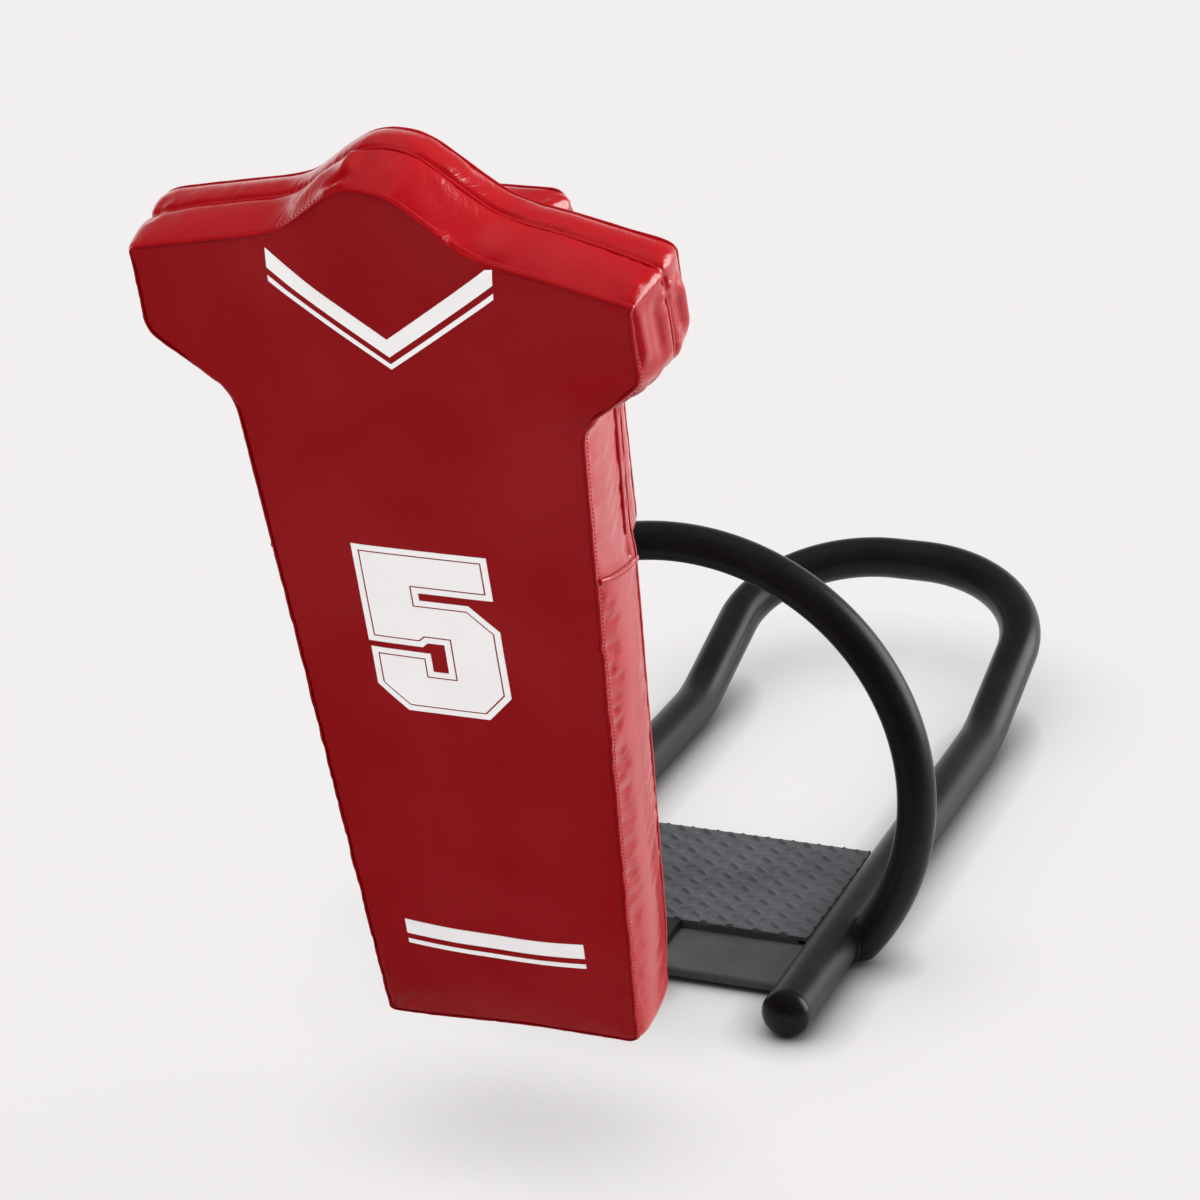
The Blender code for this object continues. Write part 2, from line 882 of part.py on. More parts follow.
def layer_insets(outline, shares):
    # Seams draw the cover in, more at the shoulders than at the waist
    heights = np.array(outline)[:, 1]
    shoulder = smooth_step(heights, pad_waist_height, armpit_height)
    depth = pad_seam_inset + (pad_shoulder_inset - pad_seam_inset) * shoulder
    return [depth * share for share in shares]


def make_pad_layers():
    outline = pad_outline()
    mid = pad_layer
    front = cushion_mesh(
        "pad_front_layer",
        outline,
        [0.0, 0.12 * mid, 0.45 * mid, 0.80 * mid, mid],
        layer_insets(outline, [1.0, 0.35, 0.0, 0.10, 0.5]),
        pad_crown,
        0.0,
    )
    add_object("pad_front_layer", front, red_vinyl, pad_seat)
    start = mid + gap
    rear_mesh = cushion_mesh(
        "pad_rear_layer",
        outline,
        [start, start + 0.20 * mid, start + 0.55 * mid, start + 0.88 * mid, start + mid],
        layer_insets(outline, [0.5, 0.10, 0.0, 0.35, 1.0]),
        0.0,
        0.0,
    )
    rear = add_object("pad_rear_layer", rear_mesh, red_vinyl, pad_seat)
    board_back = pad_back - board_cover
    board_front = board_back - board_thickness
    slot_low = -cut_margin
    slot = add_object(
        "board_slot",
        box_mesh(
            "board_slot",
            (2 * (board_half + gap), board_thickness + 2 * gap, board_height + gap - slot_low),
        ),
        None,
        pad_seat,
        (0, (board_front + board_back) / 2, (board_height + gap + slot_low) / 2),
    )
    cut(rear, slot)
    board_low = pad_seam_inset + gap
    board = add_object(
        "backing_board",
        box_mesh("backing_board", (2 * board_half, board_thickness, board_height - board_low)),
        plywood,
        pad_seat,
        (0, (board_front + board_back) / 2, (board_height + board_low) / 2),
    )
    add_bevel(board, plate_edge, 1)


def make_back_block():
    corners = [
        ((0.0, block_foot_height), 0.0),
        ((block_foot_half, block_foot_height), block_round),
        ((block_waist_half, pad_waist_height), block_shoulder_round),
        ((block_top_half, block_height), block_round),
        ((0.0, block_height), 0.0),
    ]
    outline = spread_rows(rounded_outline(corners)[1:-1], longest_row)
    depth = block_back - block_front
    shares = [0.0, 0.25, 0.55, 0.85, 1.0]
    flat = np.ones(len(outline))
    insets = [flat * block_inset * share for share in (0.4, 0.0, 0.0, 0.35, 1.0)]
    stations = [block_front + depth * share for share in shares]
    mesh = cushion_mesh("back_block", outline, stations, insets, 0.0, block_crown)
    block = add_object("back_block", mesh, red_vinyl, pad_seat)
    low = block_foot_height - cut_margin
    size = mast_width + 2 * sleeve_clearance
    sleeve = add_object(
        "sleeve_bore",
        box_mesh("sleeve_bore", (size, size, sleeve_top - low)),
        None,
        pad_seat,
        (0, mast_depth, (sleeve_top + low) / 2),
    )
    cut(block, sleeve)


def centre_on_origin():
    # Puts the middle of the whole object's length on the origin
    bpy.context.view_layer.update()
    graph = bpy.context.evaluated_depsgraph_get()
    corners = []
    for scene_object in parts.objects:
        placed = scene_object.evaluated_get(graph)
        corners += [placed.matrix_world @ Vector(corner) for corner in placed.bound_box]
    low = min(corner.y for corner in corners)
    high = max(corner.y for corner in corners)
    root.location.y = -(low + high) / 2
    bpy.context.view_layer.update()


def report_sizes():
    swing = hoop_contact()[1]
    hinge_place = mast_pivot.matrix_world.translation
    lift_axis = pad_seat.matrix_world.to_3x3() @ Vector((0, 0, 1))
    lift = mast_top_height - block_foot_height
    print("hinge at", [round(value, 6) for value in hinge_place])
    print("hinge swings back by", round(math.degrees(swing), 3), "degrees")
    print("lift axis", [round(value, 6) for value in lift_axis])
    print("pad leaves the mast after", round(lift, 4), "m")
    print("root shift", round(root.location.y, 6))


clear_scene()
parts = new_collection(object_name)
cutters = new_collection(object_name + "_cutters")

red_vinyl = new_material("red_vinyl", (0.42, 0.012, 0.018), 0.38)
black_steel = new_material("black_steel", (0.022, 0.024, 0.024), 0.42)
tread_steel = new_material("tread_steel", (0.045, 0.047, 0.048), 0.55)
plate_steel = new_material("plate_steel", (0.035, 0.038, 0.038), 0.5)
black_plastic = new_material("black_plastic", (0.012, 0.012, 0.013), 0.22)
black_rubber = new_material("black_rubber", (0.020, 0.020, 0.020), 0.85)
bronze = new_material("bronze", (0.45, 0.27, 0.10), 0.35, 1.0)
white_nylon = new_material("white_nylon", (0.80, 0.79, 0.74), 0.5)
zinc = new_material("zinc", (0.55, 0.56, 0.57), 0.35, 1.0)
plywood = new_material("plywood", (0.52, 0.36, 0.20), 0.7)

root = add_empty("base_frame", None, (0, 0, 0))
mast_pivot = add_empty("mast_pivot", root, (0, pivot_setback, pivot_height))
pad_place = Vector((0, pad_foot_front - pivot_setback, pad_foot_height - pivot_height))
mast_seat = add_empty("mast_seat", mast_pivot, pad_place, (pad_lean, 0, 0))
pad_seat = add_empty("pad_seat", mast_seat, (0, 0, 0))

make_base_tube()
make_roll_hoop()
make_end_caps()
make_tread_plate()
make_front_plate()
make_step_bar()
make_side_angles()
make_cross_angles()
make_lug()
make_rest_stop()
make_pivot_stack()
make_mast()
make_mast_cap()
make_hoop_bumper()
make_pad_layers()
make_back_block()
centre_on_origin()
report_sizes()
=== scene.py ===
import json
import math

import bmesh
import bpy
import numpy as np
from mathutils import Matrix, Vector
from mathutils.bvhtree import BVHTree
from mathutils.geometry import tessellate_polygon


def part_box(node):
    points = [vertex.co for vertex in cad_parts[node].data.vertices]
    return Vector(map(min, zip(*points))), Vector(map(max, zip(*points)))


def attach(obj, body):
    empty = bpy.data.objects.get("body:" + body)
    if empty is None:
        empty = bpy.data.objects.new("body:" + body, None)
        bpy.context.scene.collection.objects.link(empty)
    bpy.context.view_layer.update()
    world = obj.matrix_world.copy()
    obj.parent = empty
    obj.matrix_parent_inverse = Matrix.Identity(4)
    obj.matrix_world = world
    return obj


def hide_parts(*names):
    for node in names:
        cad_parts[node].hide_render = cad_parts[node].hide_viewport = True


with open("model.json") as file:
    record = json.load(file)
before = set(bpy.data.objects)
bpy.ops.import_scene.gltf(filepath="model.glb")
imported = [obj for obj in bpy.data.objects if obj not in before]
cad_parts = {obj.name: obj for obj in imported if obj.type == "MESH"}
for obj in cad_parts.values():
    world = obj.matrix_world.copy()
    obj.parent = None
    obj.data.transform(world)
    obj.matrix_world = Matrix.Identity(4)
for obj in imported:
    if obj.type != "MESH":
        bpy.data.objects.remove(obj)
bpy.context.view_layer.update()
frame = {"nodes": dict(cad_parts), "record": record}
nodes = frame["nodes"]
collection = bpy.context.scene.collection
print("frame loaded:", len(nodes), "nodes")

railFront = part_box("base_tube")[0].y  # world Y of the rails' open front ends
fullTurn = 2.0 * math.pi
cubeCorners = np.array([[(i >> axis) & 1 for axis in range(3)] for i in range(8)])
noiseTable = {"size": 4096, "steps": np.array([73, 1931, 419])}  # how many values, and the hash of a cell


def blend(first, last, share):
    return first + (last - first) * share


def smoothStep(value, low, high):
    # 0 below low, 1 above high, and the cubic 3t2 - 2t3 between them
    share = np.clip((value - low) / (high - low), 0.0, 1.0)
    return share * share * (3.0 - 2.0 * share)


def bell(value, width):
    # A Gaussian bump of that standard width
    return np.exp(-0.5 * (value / width) ** 2)


def latticeNoise(points, size, seed):
    # Random values on a cubic lattice of that size, blended with smoothed weights, from -1 to 1
    table = np.random.default_rng(seed).uniform(-1.0, 1.0, noiseTable["size"])
    scaled = np.asarray(points, float) / size
    cell = np.floor(scaled).astype(np.int64)
    part = smoothStep(scaled - cell, 0.0, 1.0)
    total = np.zeros(len(scaled))
    for step in cubeCorners:
        weight = np.prod(np.where(step, part, 1.0 - part), axis=1)
        total += weight * table[(cell + step) @ noiseTable["steps"] % noiseTable["size"]]
    return total


def unitRows(vectors):
    return vectors / np.maximum(np.linalg.norm(vectors, axis=-1, keepdims=True), 1e-12)


def lineLengths(line):
    # Length along a polyline up to each of its points
    return np.concatenate(([0.0], np.cumsum(np.linalg.norm(np.diff(line, axis=0), axis=1))))


def pick(line, along, places):
    # A line's points at those places, where along tells the place of each point it has
    return np.column_stack([np.interp(places, along, column) for column in line.T])


def roundedPath(corners, turnStep):
    # A polyline whose corners are (point, radius), each replaced by an arc tangent to both sides
    points = [np.array(point, float) for point, radius in corners]
    path = [points[0]]
    for i in range(1, len(points) - 1):
        radius = corners[i][1]
        before, after = points[i - 1] - points[i], points[i + 1] - points[i]
        before /= np.linalg.norm(before)
        after /= np.linalg.norm(after)
        inside = math.acos(float(np.clip(before @ after, -1.0, 1.0)))
        if radius <= 0.0 or inside > math.pi - 1e-4:
            path.append(points[i])
            continue
        centre = points[i] + unitRows(before + after) * radius / math.sin(inside / 2)
        first, last = (points[i] + way * radius / math.tan(inside / 2) - centre for way in (before, after))
        turn = math.pi - inside
        for share in np.linspace(0.0, 1.0, max(2, math.ceil(math.degrees(turn) / turnStep)) + 1):
            weights = [math.sin(angle) / math.sin(turn) for angle in ((1.0 - share) * turn, share * turn)]
            path.append(centre + first * weights[0] + last * weights[1])
    path.append(points[-1])
    return np.array(path)


def resample(path, spacing, closed=False):
    # The same line with points at an even spacing along its length
    line = np.vstack((path, path[:1])) if closed else path
    along = lineLengths(line)
    places = np.linspace(0.0, along[-1], max(2, int(round(along[-1] / spacing))) + 1)
    return pick(line, along, places[:-1] if closed else places)


def denseLine(line, factor, closed=True):
    # More points along a line, by straight interpolation; a closed one is smoothed three times too
    whole = np.vstack((line, line[:1])) if closed else line
    places = np.arange(0, len(whole) - 1 + 1e-9, 1.0 / factor)
    dense = pick(whole, np.arange(len(whole)), places[:-1] if closed else places)
    for step in range(3 if closed else 0):
        dense = (np.roll(dense, 1, axis=0) + 2.0 * dense + np.roll(dense, -1, axis=0)) / 4
    return dense


def gridFaces(rows, columns, closeRows=False, closeColumns=False, offset=0):
    # Quads between neighbouring points of a grid that was flattened row by row
    i = np.arange(rows if closeRows else rows - 1)
    j = np.arange(columns if closeColumns else columns - 1)
    i, j = np.meshgrid(i, j, indexing="ij")
    nextI, nextJ = (i + 1) % rows, (j + 1) % columns
    corners = ((i, j), (nextI, j), (nextI, nextJ), (i, nextJ))
    return np.stack([row * columns + column for row, column in corners], axis=-1).reshape(-1, 4) + offset


def makeMesh(name, points, faces, sharp=None):
    # A mesh with its doubles merged and its faces turned outwards
    mesh = bpy.data.meshes.new(name)
    mesh.from_pydata(np.asarray(points, float).tolist(), [], [list(map(int, face)) for face in faces])
    bm = bmesh.new()
    bm.from_mesh(mesh)
    bmesh.ops.remove_doubles(bm, verts=bm.verts, dist=1e-6)
    bmesh.ops.recalc_face_normals(bm, faces=bm.faces)
    bm.to_mesh(mesh)
    bm.free()
    mesh.shade_smooth()
    if sharp is not None:
        mesh.set_sharp_from_angle(angle=math.radians(sharp))
    return mesh


def sweepMesh(name, rings, closed=False, sharp=None):
    # A skin over rings of points, with flat ends where it doesn't close on itself
    count, sides = rings.shape[:2]
    faces = gridFaces(count, sides, closed, True).tolist()
    if not closed:
        faces += [list(range(sides)), list(range((count - 1) * sides, count * sides))]
    return makeMesh(name, rings.reshape(-1, 3), faces, sharp)


def tubeMesh(name, path, radius, sides, closed=False, sharp=None, start=(0.0, 0.0, 1.0)):
    # A circle of that radius carried along the path, its two normals carried along without twisting
    ahead = np.roll(path, -1, axis=0) - np.roll(path, 1, axis=0) if closed else np.gradient(path, axis=0)
    tangents = unitRows(ahead)
    first = np.zeros((len(path), 3))
    side = np.array(start) - tangents[0] * (np.array(start) @ tangents[0])
    for i, tangent in enumerate(tangents):
        side = side - tangent * (side @ tangent)
        side /= np.linalg.norm(side)
        first[i] = side
    second = np.cross(tangents, first)
    turn = np.linspace(0.0, fullTurn, sides, endpoint=False)[None, :, None]
    radii = np.broadcast_to(np.asarray(radius, float), (len(path),))[:, None, None]
    rings = path[:, None] + radii * (np.cos(turn) * first[:, None] + np.sin(turn) * second[:, None])
    return sweepMesh(name, rings, closed, sharp)


def pipingMesh(line, radius, seed=None):
    # A thin round piping, closed and a little uneven where a seed is given
    closed = seed is not None
    if closed:
        radius = radius * (1.0 + 0.15 * latticeNoise(line, 0.012, seed))
    return tubeMesh("piping", line, radius, 10, closed, start=(0.0, 1.0, 0.0))


def joinMeshes(name, parts):
    # Several meshes as one
    bm = bmesh.new()
    for part in parts:
        bm.from_mesh(part)
        bpy.data.meshes.remove(part)
    mesh = bpy.data.meshes.new(name)
    bm.to_mesh(mesh)
    bm.free()
    mesh.shade_smooth()
    return mesh


def modified(mesh, kind, **settings):
    # The mesh after one modifier, in place of the mesh itself
    worker = bpy.data.objects.new("worker", mesh)
    collection.objects.link(worker)
    modifier = worker.modifiers.new("change", kind)
    for key, value in settings.items():
        setattr(modifier, key, value)
    made = bpy.data.meshes.new_from_object(worker.evaluated_get(bpy.context.evaluated_depsgraph_get()))
    bpy.data.objects.remove(worker)
    bpy.data.meshes.remove(mesh)
    return made


def meshPoints(mesh, field="co"):
    # A mesh's points, or with "normal" the normals there
    values = np.empty(len(mesh.vertices) * 3)
    mesh.vertices.foreach_get(field, values)
    return values.reshape(-1, 3)


def setPoints(mesh, points):
    mesh.vertices.foreach_set("co", np.asarray(points, float).ravel())
    mesh.update()


def setValues(mesh, name, values):
    mesh.attributes.new(name, "FLOAT", "POINT").data.foreach_set("value", np.asarray(values, np.float32))


def getValues(mesh, name):
    values = np.empty(len(mesh.vertices), np.float32)
    mesh.attributes[name].data.foreach_get("value", values)
    return values


def addPiece(name, mesh, finishName, body, replaced=()):
    # One finished piece: it has its material, and rides on its body
    piece = bpy.data.objects.new(name, mesh)
    collection.objects.link(piece)
    mesh.materials.clear()
    mesh.materials.append(materials[finishName])
    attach(piece, body)
    if replaced:
        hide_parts(*replaced)
    return piece


def addPadPiece(name, mesh, finishName="redVinyl", replaced=(), points=None):
    # A piece made in the pad's own frame, set in its place in the world
    setPoints(mesh, toWorld(meshPoints(mesh) if points is None else points))
    return addPiece(name, mesh, finishName, "pad", replaced)


def setInputs(tree, node, inputs):
    # Sockets are linked to the node's inputs, and values are set in them
    for key, value in inputs.items():
        socket = node.inputs[key]
        if isinstance(value, bpy.types.NodeSocket):
            tree.links.new(value, socket)
        else:
            socket.default_value = (*value, 1.0) if socket.type == "RGBA" else value


def addNode(tree, kind, inputs=None, **settings):
    node = tree.nodes.new(kind)
    for key, value in settings.items():
        setattr(node, key, value)
    setInputs(tree, node, inputs or {})
    return node


def mathNode(tree, operation, *values, clamp=False):
    inputs = dict(enumerate(values))
    return addNode(tree, "ShaderNodeMath", inputs, operation=operation, use_clamp=clamp).outputs[0]


def mixColour(tree, share, first, second):
    return addNode(tree, "ShaderNodeMix", {0: share, 6: first, 7: second}, data_type="RGBA").outputs[2]


def spreadNode(tree, value, low, high, newLow=0.0, newHigh=1.0):
    inputs = {"Value": value, "From Min": low, "From Max": high, "To Min": newLow, "To Max": newHigh}
    return addNode(tree, "ShaderNodeMapRange", inputs, interpolation_type="SMOOTHSTEP").outputs[0]


def noiseNode(tree, vector, scale, detail=2.0, roughness=0.5, distortion=0.0):
    values = {"Scale": scale, "Detail": detail, "Roughness": roughness, "Distortion": distortion}
    return addNode(tree, "ShaderNodeTexNoise", {"Vector": vector, **values}).outputs[0]


def stretchNode(tree, vector, turn, scale):
    return addNode(tree, "ShaderNodeMapping", {"Vector": vector, "Rotation": turn, "Scale": scale}).outputs[0]


def newGroup(name, inputs, outputs):
    # A shader node group whose sockets are given as {label: kind}
    group = bpy.data.node_groups.new(name, "ShaderNodeTree")
    for way, sockets in (("INPUT", inputs), ("OUTPUT", outputs)):
        for label, kind in sockets.items():
            group.interface.new_socket(label, in_out=way, socket_type="NodeSocket" + kind)
    return group, addNode(group, "NodeGroupInput").outputs


def makeGrainGroup():
    # Height of a fine skin: rounded cells with softer noise over them
    group, source = newGroup("fineGrain", {"Vector": "Vector", "Cells": "Float"}, {"Height": "Float"})
    inputs = {"Vector": source["Vector"], "Scale": source["Cells"]}
    cells = addNode(group, "ShaderNodeTexVoronoi", inputs, feature="SMOOTH_F1").outputs["Distance"]
    soft = noiseNode(group, source["Vector"], mathNode(group, "MULTIPLY", source["Cells"], 0.35), 3.0)
    height = mathNode(group, "ADD", cells, mathNode(group, "MULTIPLY", soft, 0.5))
    addNode(group, "NodeGroupOutput", {"Height": height})
    return group


def makeMottleGroup():
    # Colour that drifts between two shades, with fine speckle over the drift
    group, source = newGroup(
        "mottle",
        {"Vector": "Vector", "Shade A": "Color", "Shade B": "Color", "Scale": "Float", "Speckle": "Float"},
        {"Color": "Color", "Mask": "Float"},
    )
    broad = noiseNode(group, source["Vector"], source["Scale"], 4.0, 0.55)
    fine = noiseNode(group, source["Vector"], mathNode(group, "MULTIPLY", source["Scale"], 40.0))
    fine = mathNode(group, "SUBTRACT", fine, 0.5)
    mask = spreadNode(group, mathNode(group, "MULTIPLY_ADD", fine, source["Speckle"], broad), 0.32, 0.68)
    colour = mixColour(group, mask, source["Shade A"], source["Shade B"])
    addNode(group, "NodeGroupOutput", {"Color": colour, "Mask": mask})
    return group


def makeScuffGroup():
    # A mask of thin scratches and rubbed patches
    group, source = newGroup(
        "scuffs", {"Vector": "Vector", "Scale": "Float", "Amount": "Float"}, {"Mask": "Float"}
    )
    stretched = stretchNode(group, source["Vector"], (0.3, 0.5, 0.7), (1.0, 9.0, 3.0))
    lines = noiseNode(group, stretched, source["Scale"], 5.0, 0.7)
    patches = noiseNode(group, source["Vector"], mathNode(group, "MULTIPLY", source["Scale"], 0.3), 3.0)
    lines, patches = spreadNode(group, lines, 0.58, 0.72), spreadNode(group, patches, 0.45, 0.7)
    mask = mathNode(group, "MULTIPLY", lines, patches)
    mask = mathNode(group, "MULTIPLY", mask, source["Amount"], clamp=True)
    addNode(group, "NodeGroupOutput", {"Mask": mask})
    return group


groups = {"grain": makeGrainGroup(), "mottle": makeMottleGroup(), "scuffs": makeScuffGroup()}
scuffRoughness = 0.15  # how much rougher a surface is where it is scuffed


def useGroup(tree, label, **inputs):
    named = {key.replace("_", " "): value for key, value in inputs.items()}
    return addNode(tree, "ShaderNodeGroup", named, node_tree=groups[label]).outputs


def newMaterial(name):
    material = bpy.data.materials.new(name)
    material.use_nodes = True
    tree = material.node_tree
    place = addNode(tree, "ShaderNodeTexCoord").outputs["Object"]
    return material, tree, tree.nodes["Principled BSDF"], place


def finish(name, look):
    # One surface: two shades mottled, scuffs towards a worn shade, grain as bump, roughness that follows both
    material, tree, shader, place = newMaterial(name)
    mottle = useGroup(
        tree, "mottle", Vector=place, Shade_A=look["shadeA"], Shade_B=look["shadeB"], Scale=look["drift"],
        Speckle=look["speckle"],
    )
    scuff = useGroup(tree, "scuffs", Vector=place, Scale=look["scuffScale"], Amount=look["scuffs"])["Mask"]
    grain = useGroup(tree, "grain", Vector=place, Cells=look["cells"])["Height"]
    rough = spreadNode(tree, mottle["Mask"], 0.0, 1.0, *look["roughness"])
    bump = {"Strength": look["bump"], "Distance": look["bumpDepth"], "Height": grain}
    setInputs(tree, shader, {
        "Base Color": mixColour(tree, scuff, mottle["Color"], look["worn"]),
        "Roughness": mathNode(tree, "MULTIPLY_ADD", scuff, scuffRoughness, rough, clamp=True),
        "Metallic": look["metallic"],
        "Specular IOR Level": look["specular"],
        "Normal": addNode(tree, "ShaderNodeBump", bump).outputs[0],
    })
    if name == "redVinyl":
        addCreases(tree, shader, place)
    return material


creases = {
    "lean": 0.45,  # how far a fine crease runs along the seam for each step away from it
    "fine": (80.0, 16.0),  # creases along the seam and away from it, per metre
    "fade": -75.0,
    "broad": 26.0,
    "broadShare": 0.22,
    "strength": 0.8,
    "depth": 0.0030,
}


def addCreases(tree, shader, place):
    # Bump of fine slanting creases near the seams, and of long faint ones away from them
    readers = [addNode(tree, "ShaderNodeAttribute", attribute_name=name) for name in seamValues]
    gap, run = (reader.outputs["Fac"] for reader in readers)
    slant = mathNode(tree, "MULTIPLY_ADD", gap, creases["lean"], run)
    both = zip((slant, gap), creases["fine"])
    crossed = {i: mathNode(tree, "MULTIPLY", value, scale) for i, (value, scale) in enumerate(both)}
    crossed = addNode(tree, "ShaderNodeCombineXYZ", crossed).outputs[0]
    fade = mathNode(tree, "POWER", 2.718, mathNode(tree, "MULTIPLY", gap, creases["fade"]))
    fine = mathNode(tree, "MULTIPLY", noiseNode(tree, crossed, 1.0, distortion=0.6), fade)
    stretched = stretchNode(tree, place, (0.4, 0.2, 0.7), (1.0, 1.0, 0.35))
    broad = noiseNode(tree, stretched, creases["broad"], 1.5, distortion=0.8)
    height = mathNode(tree, "ADD", fine, mathNode(tree, "MULTIPLY", broad, creases["broadShare"]))
    bump = {"Strength": creases["strength"], "Distance": creases["depth"], "Height": height}
    bump["Normal"] = shader.inputs["Normal"].links[0].from_socket
    setInputs(tree, shader, {"Normal": addNode(tree, "ShaderNodeBump", bump).outputs[0]})


seamValues = ("seamGap", "seamRun")  # a point's distance from the nearest seam, and its place along it
finishKeys = (
    "slot", "shadeA", "shadeB", "worn", "drift", "speckle", "scuffs", "scuffScale", "cells", "roughness",
    "specular", "metallic", "bump", "bumpDepth",
)
finishRows = {
    "redVinyl": (
        "red_vinyl", (0.262, 0.0012, 0.0035), (0.292, 0.0018, 0.0045), (0.33, 0.01, 0.012),
        5.0, 0.0, 0.0, 16.0, 620.0, (0.19, 0.25), 0.45, 0.0, 0.25, 0.0006,
    ),
    "whiteInk": (
        "red_vinyl", (0.93, 0.92, 0.91), (0.96, 0.95, 0.94), (0.80, 0.66, 0.64),
        9.0, 0.3, 0.12, 40.0, 620.0, (0.42, 0.55), 0.5, 0.0, 0.2, 0.0006,
    ),
    "redThread": (
        "red_vinyl", (0.26, 0.004, 0.008), (0.34, 0.008, 0.012), (0.40, 0.05, 0.05),
        60.0, 0.2, 0.3, 30.0, 2500.0, (0.55, 0.7), 0.1, 0.0, 0.3, 0.0004,
    ),
    "blackPowder": (
        "black_steel", (0.0045, 0.0048, 0.0050), (0.0075, 0.0080, 0.0082), (0.035, 0.037, 0.038),
        7.0, 0.5, 0.25, 34.0, 900.0, (0.33, 0.40), 0.13, 0.0, 0.08, 0.0004,
    ),
    "treadSteel": (
        "tread_steel", (0.036, 0.038, 0.041), (0.052, 0.055, 0.059), (0.09, 0.094, 0.098),
        12.0, 0.6, 0.40, 50.0, 1100.0, (0.44, 0.56), 0.25, 0.0, 0.3, 0.0005,
    ),
    "plateSteel": (
        "plate_steel", (0.036, 0.0385, 0.039), (0.051, 0.0535, 0.054), (0.08, 0.083, 0.085),
        9.0, 0.4, 0.35, 40.0, 900.0, (0.44, 0.58), 0.15, 0.0, 0.25, 0.0005,
    ),
    "blackPlastic": (
        "black_plastic", (0.0035, 0.0035, 0.004), (0.006, 0.006, 0.0065), (0.03, 0.03, 0.03),
        20.0, 0.2, 0.2, 60.0, 1600.0, (0.22, 0.30), 0.14, 0.0, 0.06, 0.0003,
    ),
    "blackRubber": (
        "black_rubber", (0.014, 0.014, 0.014), (0.026, 0.026, 0.025), (0.09, 0.09, 0.088),
        25.0, 0.2, 0.5, 60.0, 1400.0, (0.75, 0.9), 0.5, 0.0, 0.35, 0.0005,
    ),
    "bronze": (
        "bronze", (0.42, 0.25, 0.09), (0.52, 0.33, 0.13), (0.65, 0.47, 0.25),
        60.0, 0.2, 0.3, 30.0, 2200.0, (0.28, 0.42), 0.5, 1.0, 0.15, 0.0003,
    ),
    "whiteNylon": (
        "white_nylon", (0.74, 0.73, 0.68), (0.82, 0.81, 0.77), (0.45, 0.44, 0.42),
        50.0, 0.2, 0.3, 30.0, 2000.0, (0.45, 0.6), 0.5, 0.0, 0.15, 0.0003,
    ),
    "zincPlate": (
        "zinc", (0.50, 0.51, 0.53), (0.62, 0.63, 0.64), (0.36, 0.35, 0.33),
        70.0, 0.6, 0.3, 30.0, 1500.0, (0.28, 0.45), 0.5, 1.0, 0.2, 0.0004,
    ),
    "plywood": (
        "plywood", (0.46, 0.30, 0.16), (0.60, 0.43, 0.25), (0.36, 0.24, 0.14),
        18.0, 0.5, 0.3, 30.0, 800.0, (0.6, 0.78), 0.5, 0.0, 0.3, 0.0006,
    ),
}
finishes = {label: dict(zip(finishKeys, row)) for label, row in finishRows.items()}
materials = {label: finish(label, look) for label, look in finishes.items()}
slotMaterials = {}  # the first finish of each slot is that of the CAD's own solids
for label, look in finishes.items():
    slotMaterials.setdefault(look["slot"], materials[label])
for row in frame["record"]["subparts"]:
    for materialSlot in nodes[row["node"]].material_slots:
        materialSlot.material = slotMaterials[row["material_slot"]]
print("materials made:", len(materials))


pad = {
    "lean": math.radians(16.0),
    "foot": (-0.338, 0.144),  # Y from the rails' front ends and height of the front face's lower edge
    "corners": [  # half outline, from the middle of the foot over the shoulder to the crown
        ((0.0, 0.0), 0.0), ((0.152, 0.0), 0.010), ((0.190, 0.817), 0.050), ((0.277, 0.879), 0.036),
        ((0.277, 0.983), 0.013), ((0.105, 1.015), 0.085), ((0.020, 1.082), 0.060), ((0.0, 1.082), 0.0),
    ],
    "topCorner": 4,  # which corner is the top of the shoulder
    "depth": 0.1063,
    "across": 42,
    "up": 196,
    "strips": 11,  # rings in each of the two side strips
    "faceCrown": 0.007,
    "backCrown": 0.001,
    "crownReach": 0.055,
    "edgeRoll": 0.008,
    "rollDepth": 0.0018,
    "pullReach": 0.05,
    # Heights between which the insets of one part turn into those of the part above it
    "armRise": (0.835, 0.885),
    "seamRise": (0.80, 0.93),
    "footRise": (0.0, 0.10),
    "lapRise": (0.590, 0.640),
    "rightRise": ((-0.05, 0.01), (0.82, 0.90)),  # the same across and up, for the right arm's own insets
    "cornerReach": 0.030,
    "seamInset": (0.0030, 0.0070),  # of the front edge: below and at the shoulders
    "rightInset": (0.0090, 0.0040),  # more on the right arm: at the front edge and at the rear
    "grooveDepth": (0.090, 0.061),  # where the groove between the strips lies: at the waist and on the arms
    "grooveInset": (0.0035, -0.0030, 0.0050),  # at the waist, on the arms, more at the shoulders' corners
    "notch": 0.0036,
    "stripBulge": 0.0045,
    "rearInset": (-0.0010, 0.0045, 0.0003, 0.0050),  # on the arms, at the waist, under the lap, at the foot
    "crownDroop": 0.007,
    "armDroop": 0.005,
    "armPull": 0.010,
    "footDroop": 0.010,
    "waver": 0.0011,
    "lap": (0.633, 0.591),  # height of the slanted lapped seam on the sides, at the front and at the rear
    "lapFade": (-0.003, 0.005),  # from that height, where the strip below it turns into those above
    "groovedFrom": (0.02, 0.05),  # above the lap's rear end, where the sides start to be grooved
    "rearBulge": 0.002,
    "lowerBulge": 0.0060,
    "pins": (0.05, 0.06),  # how firmly the cloth is held on the panels and on the sides
    "bending": 0.25,  # of the cloth, with the frames it moves for and the furthest it may go
    "frames": 20,
    "cap": 0.0045,
}
padPlace = Matrix.Translation((0.0, railFront + pad["foot"][0], pad["foot"][1]))
padPlace = padPlace @ Matrix.Rotation(pad["lean"], 4, "X")
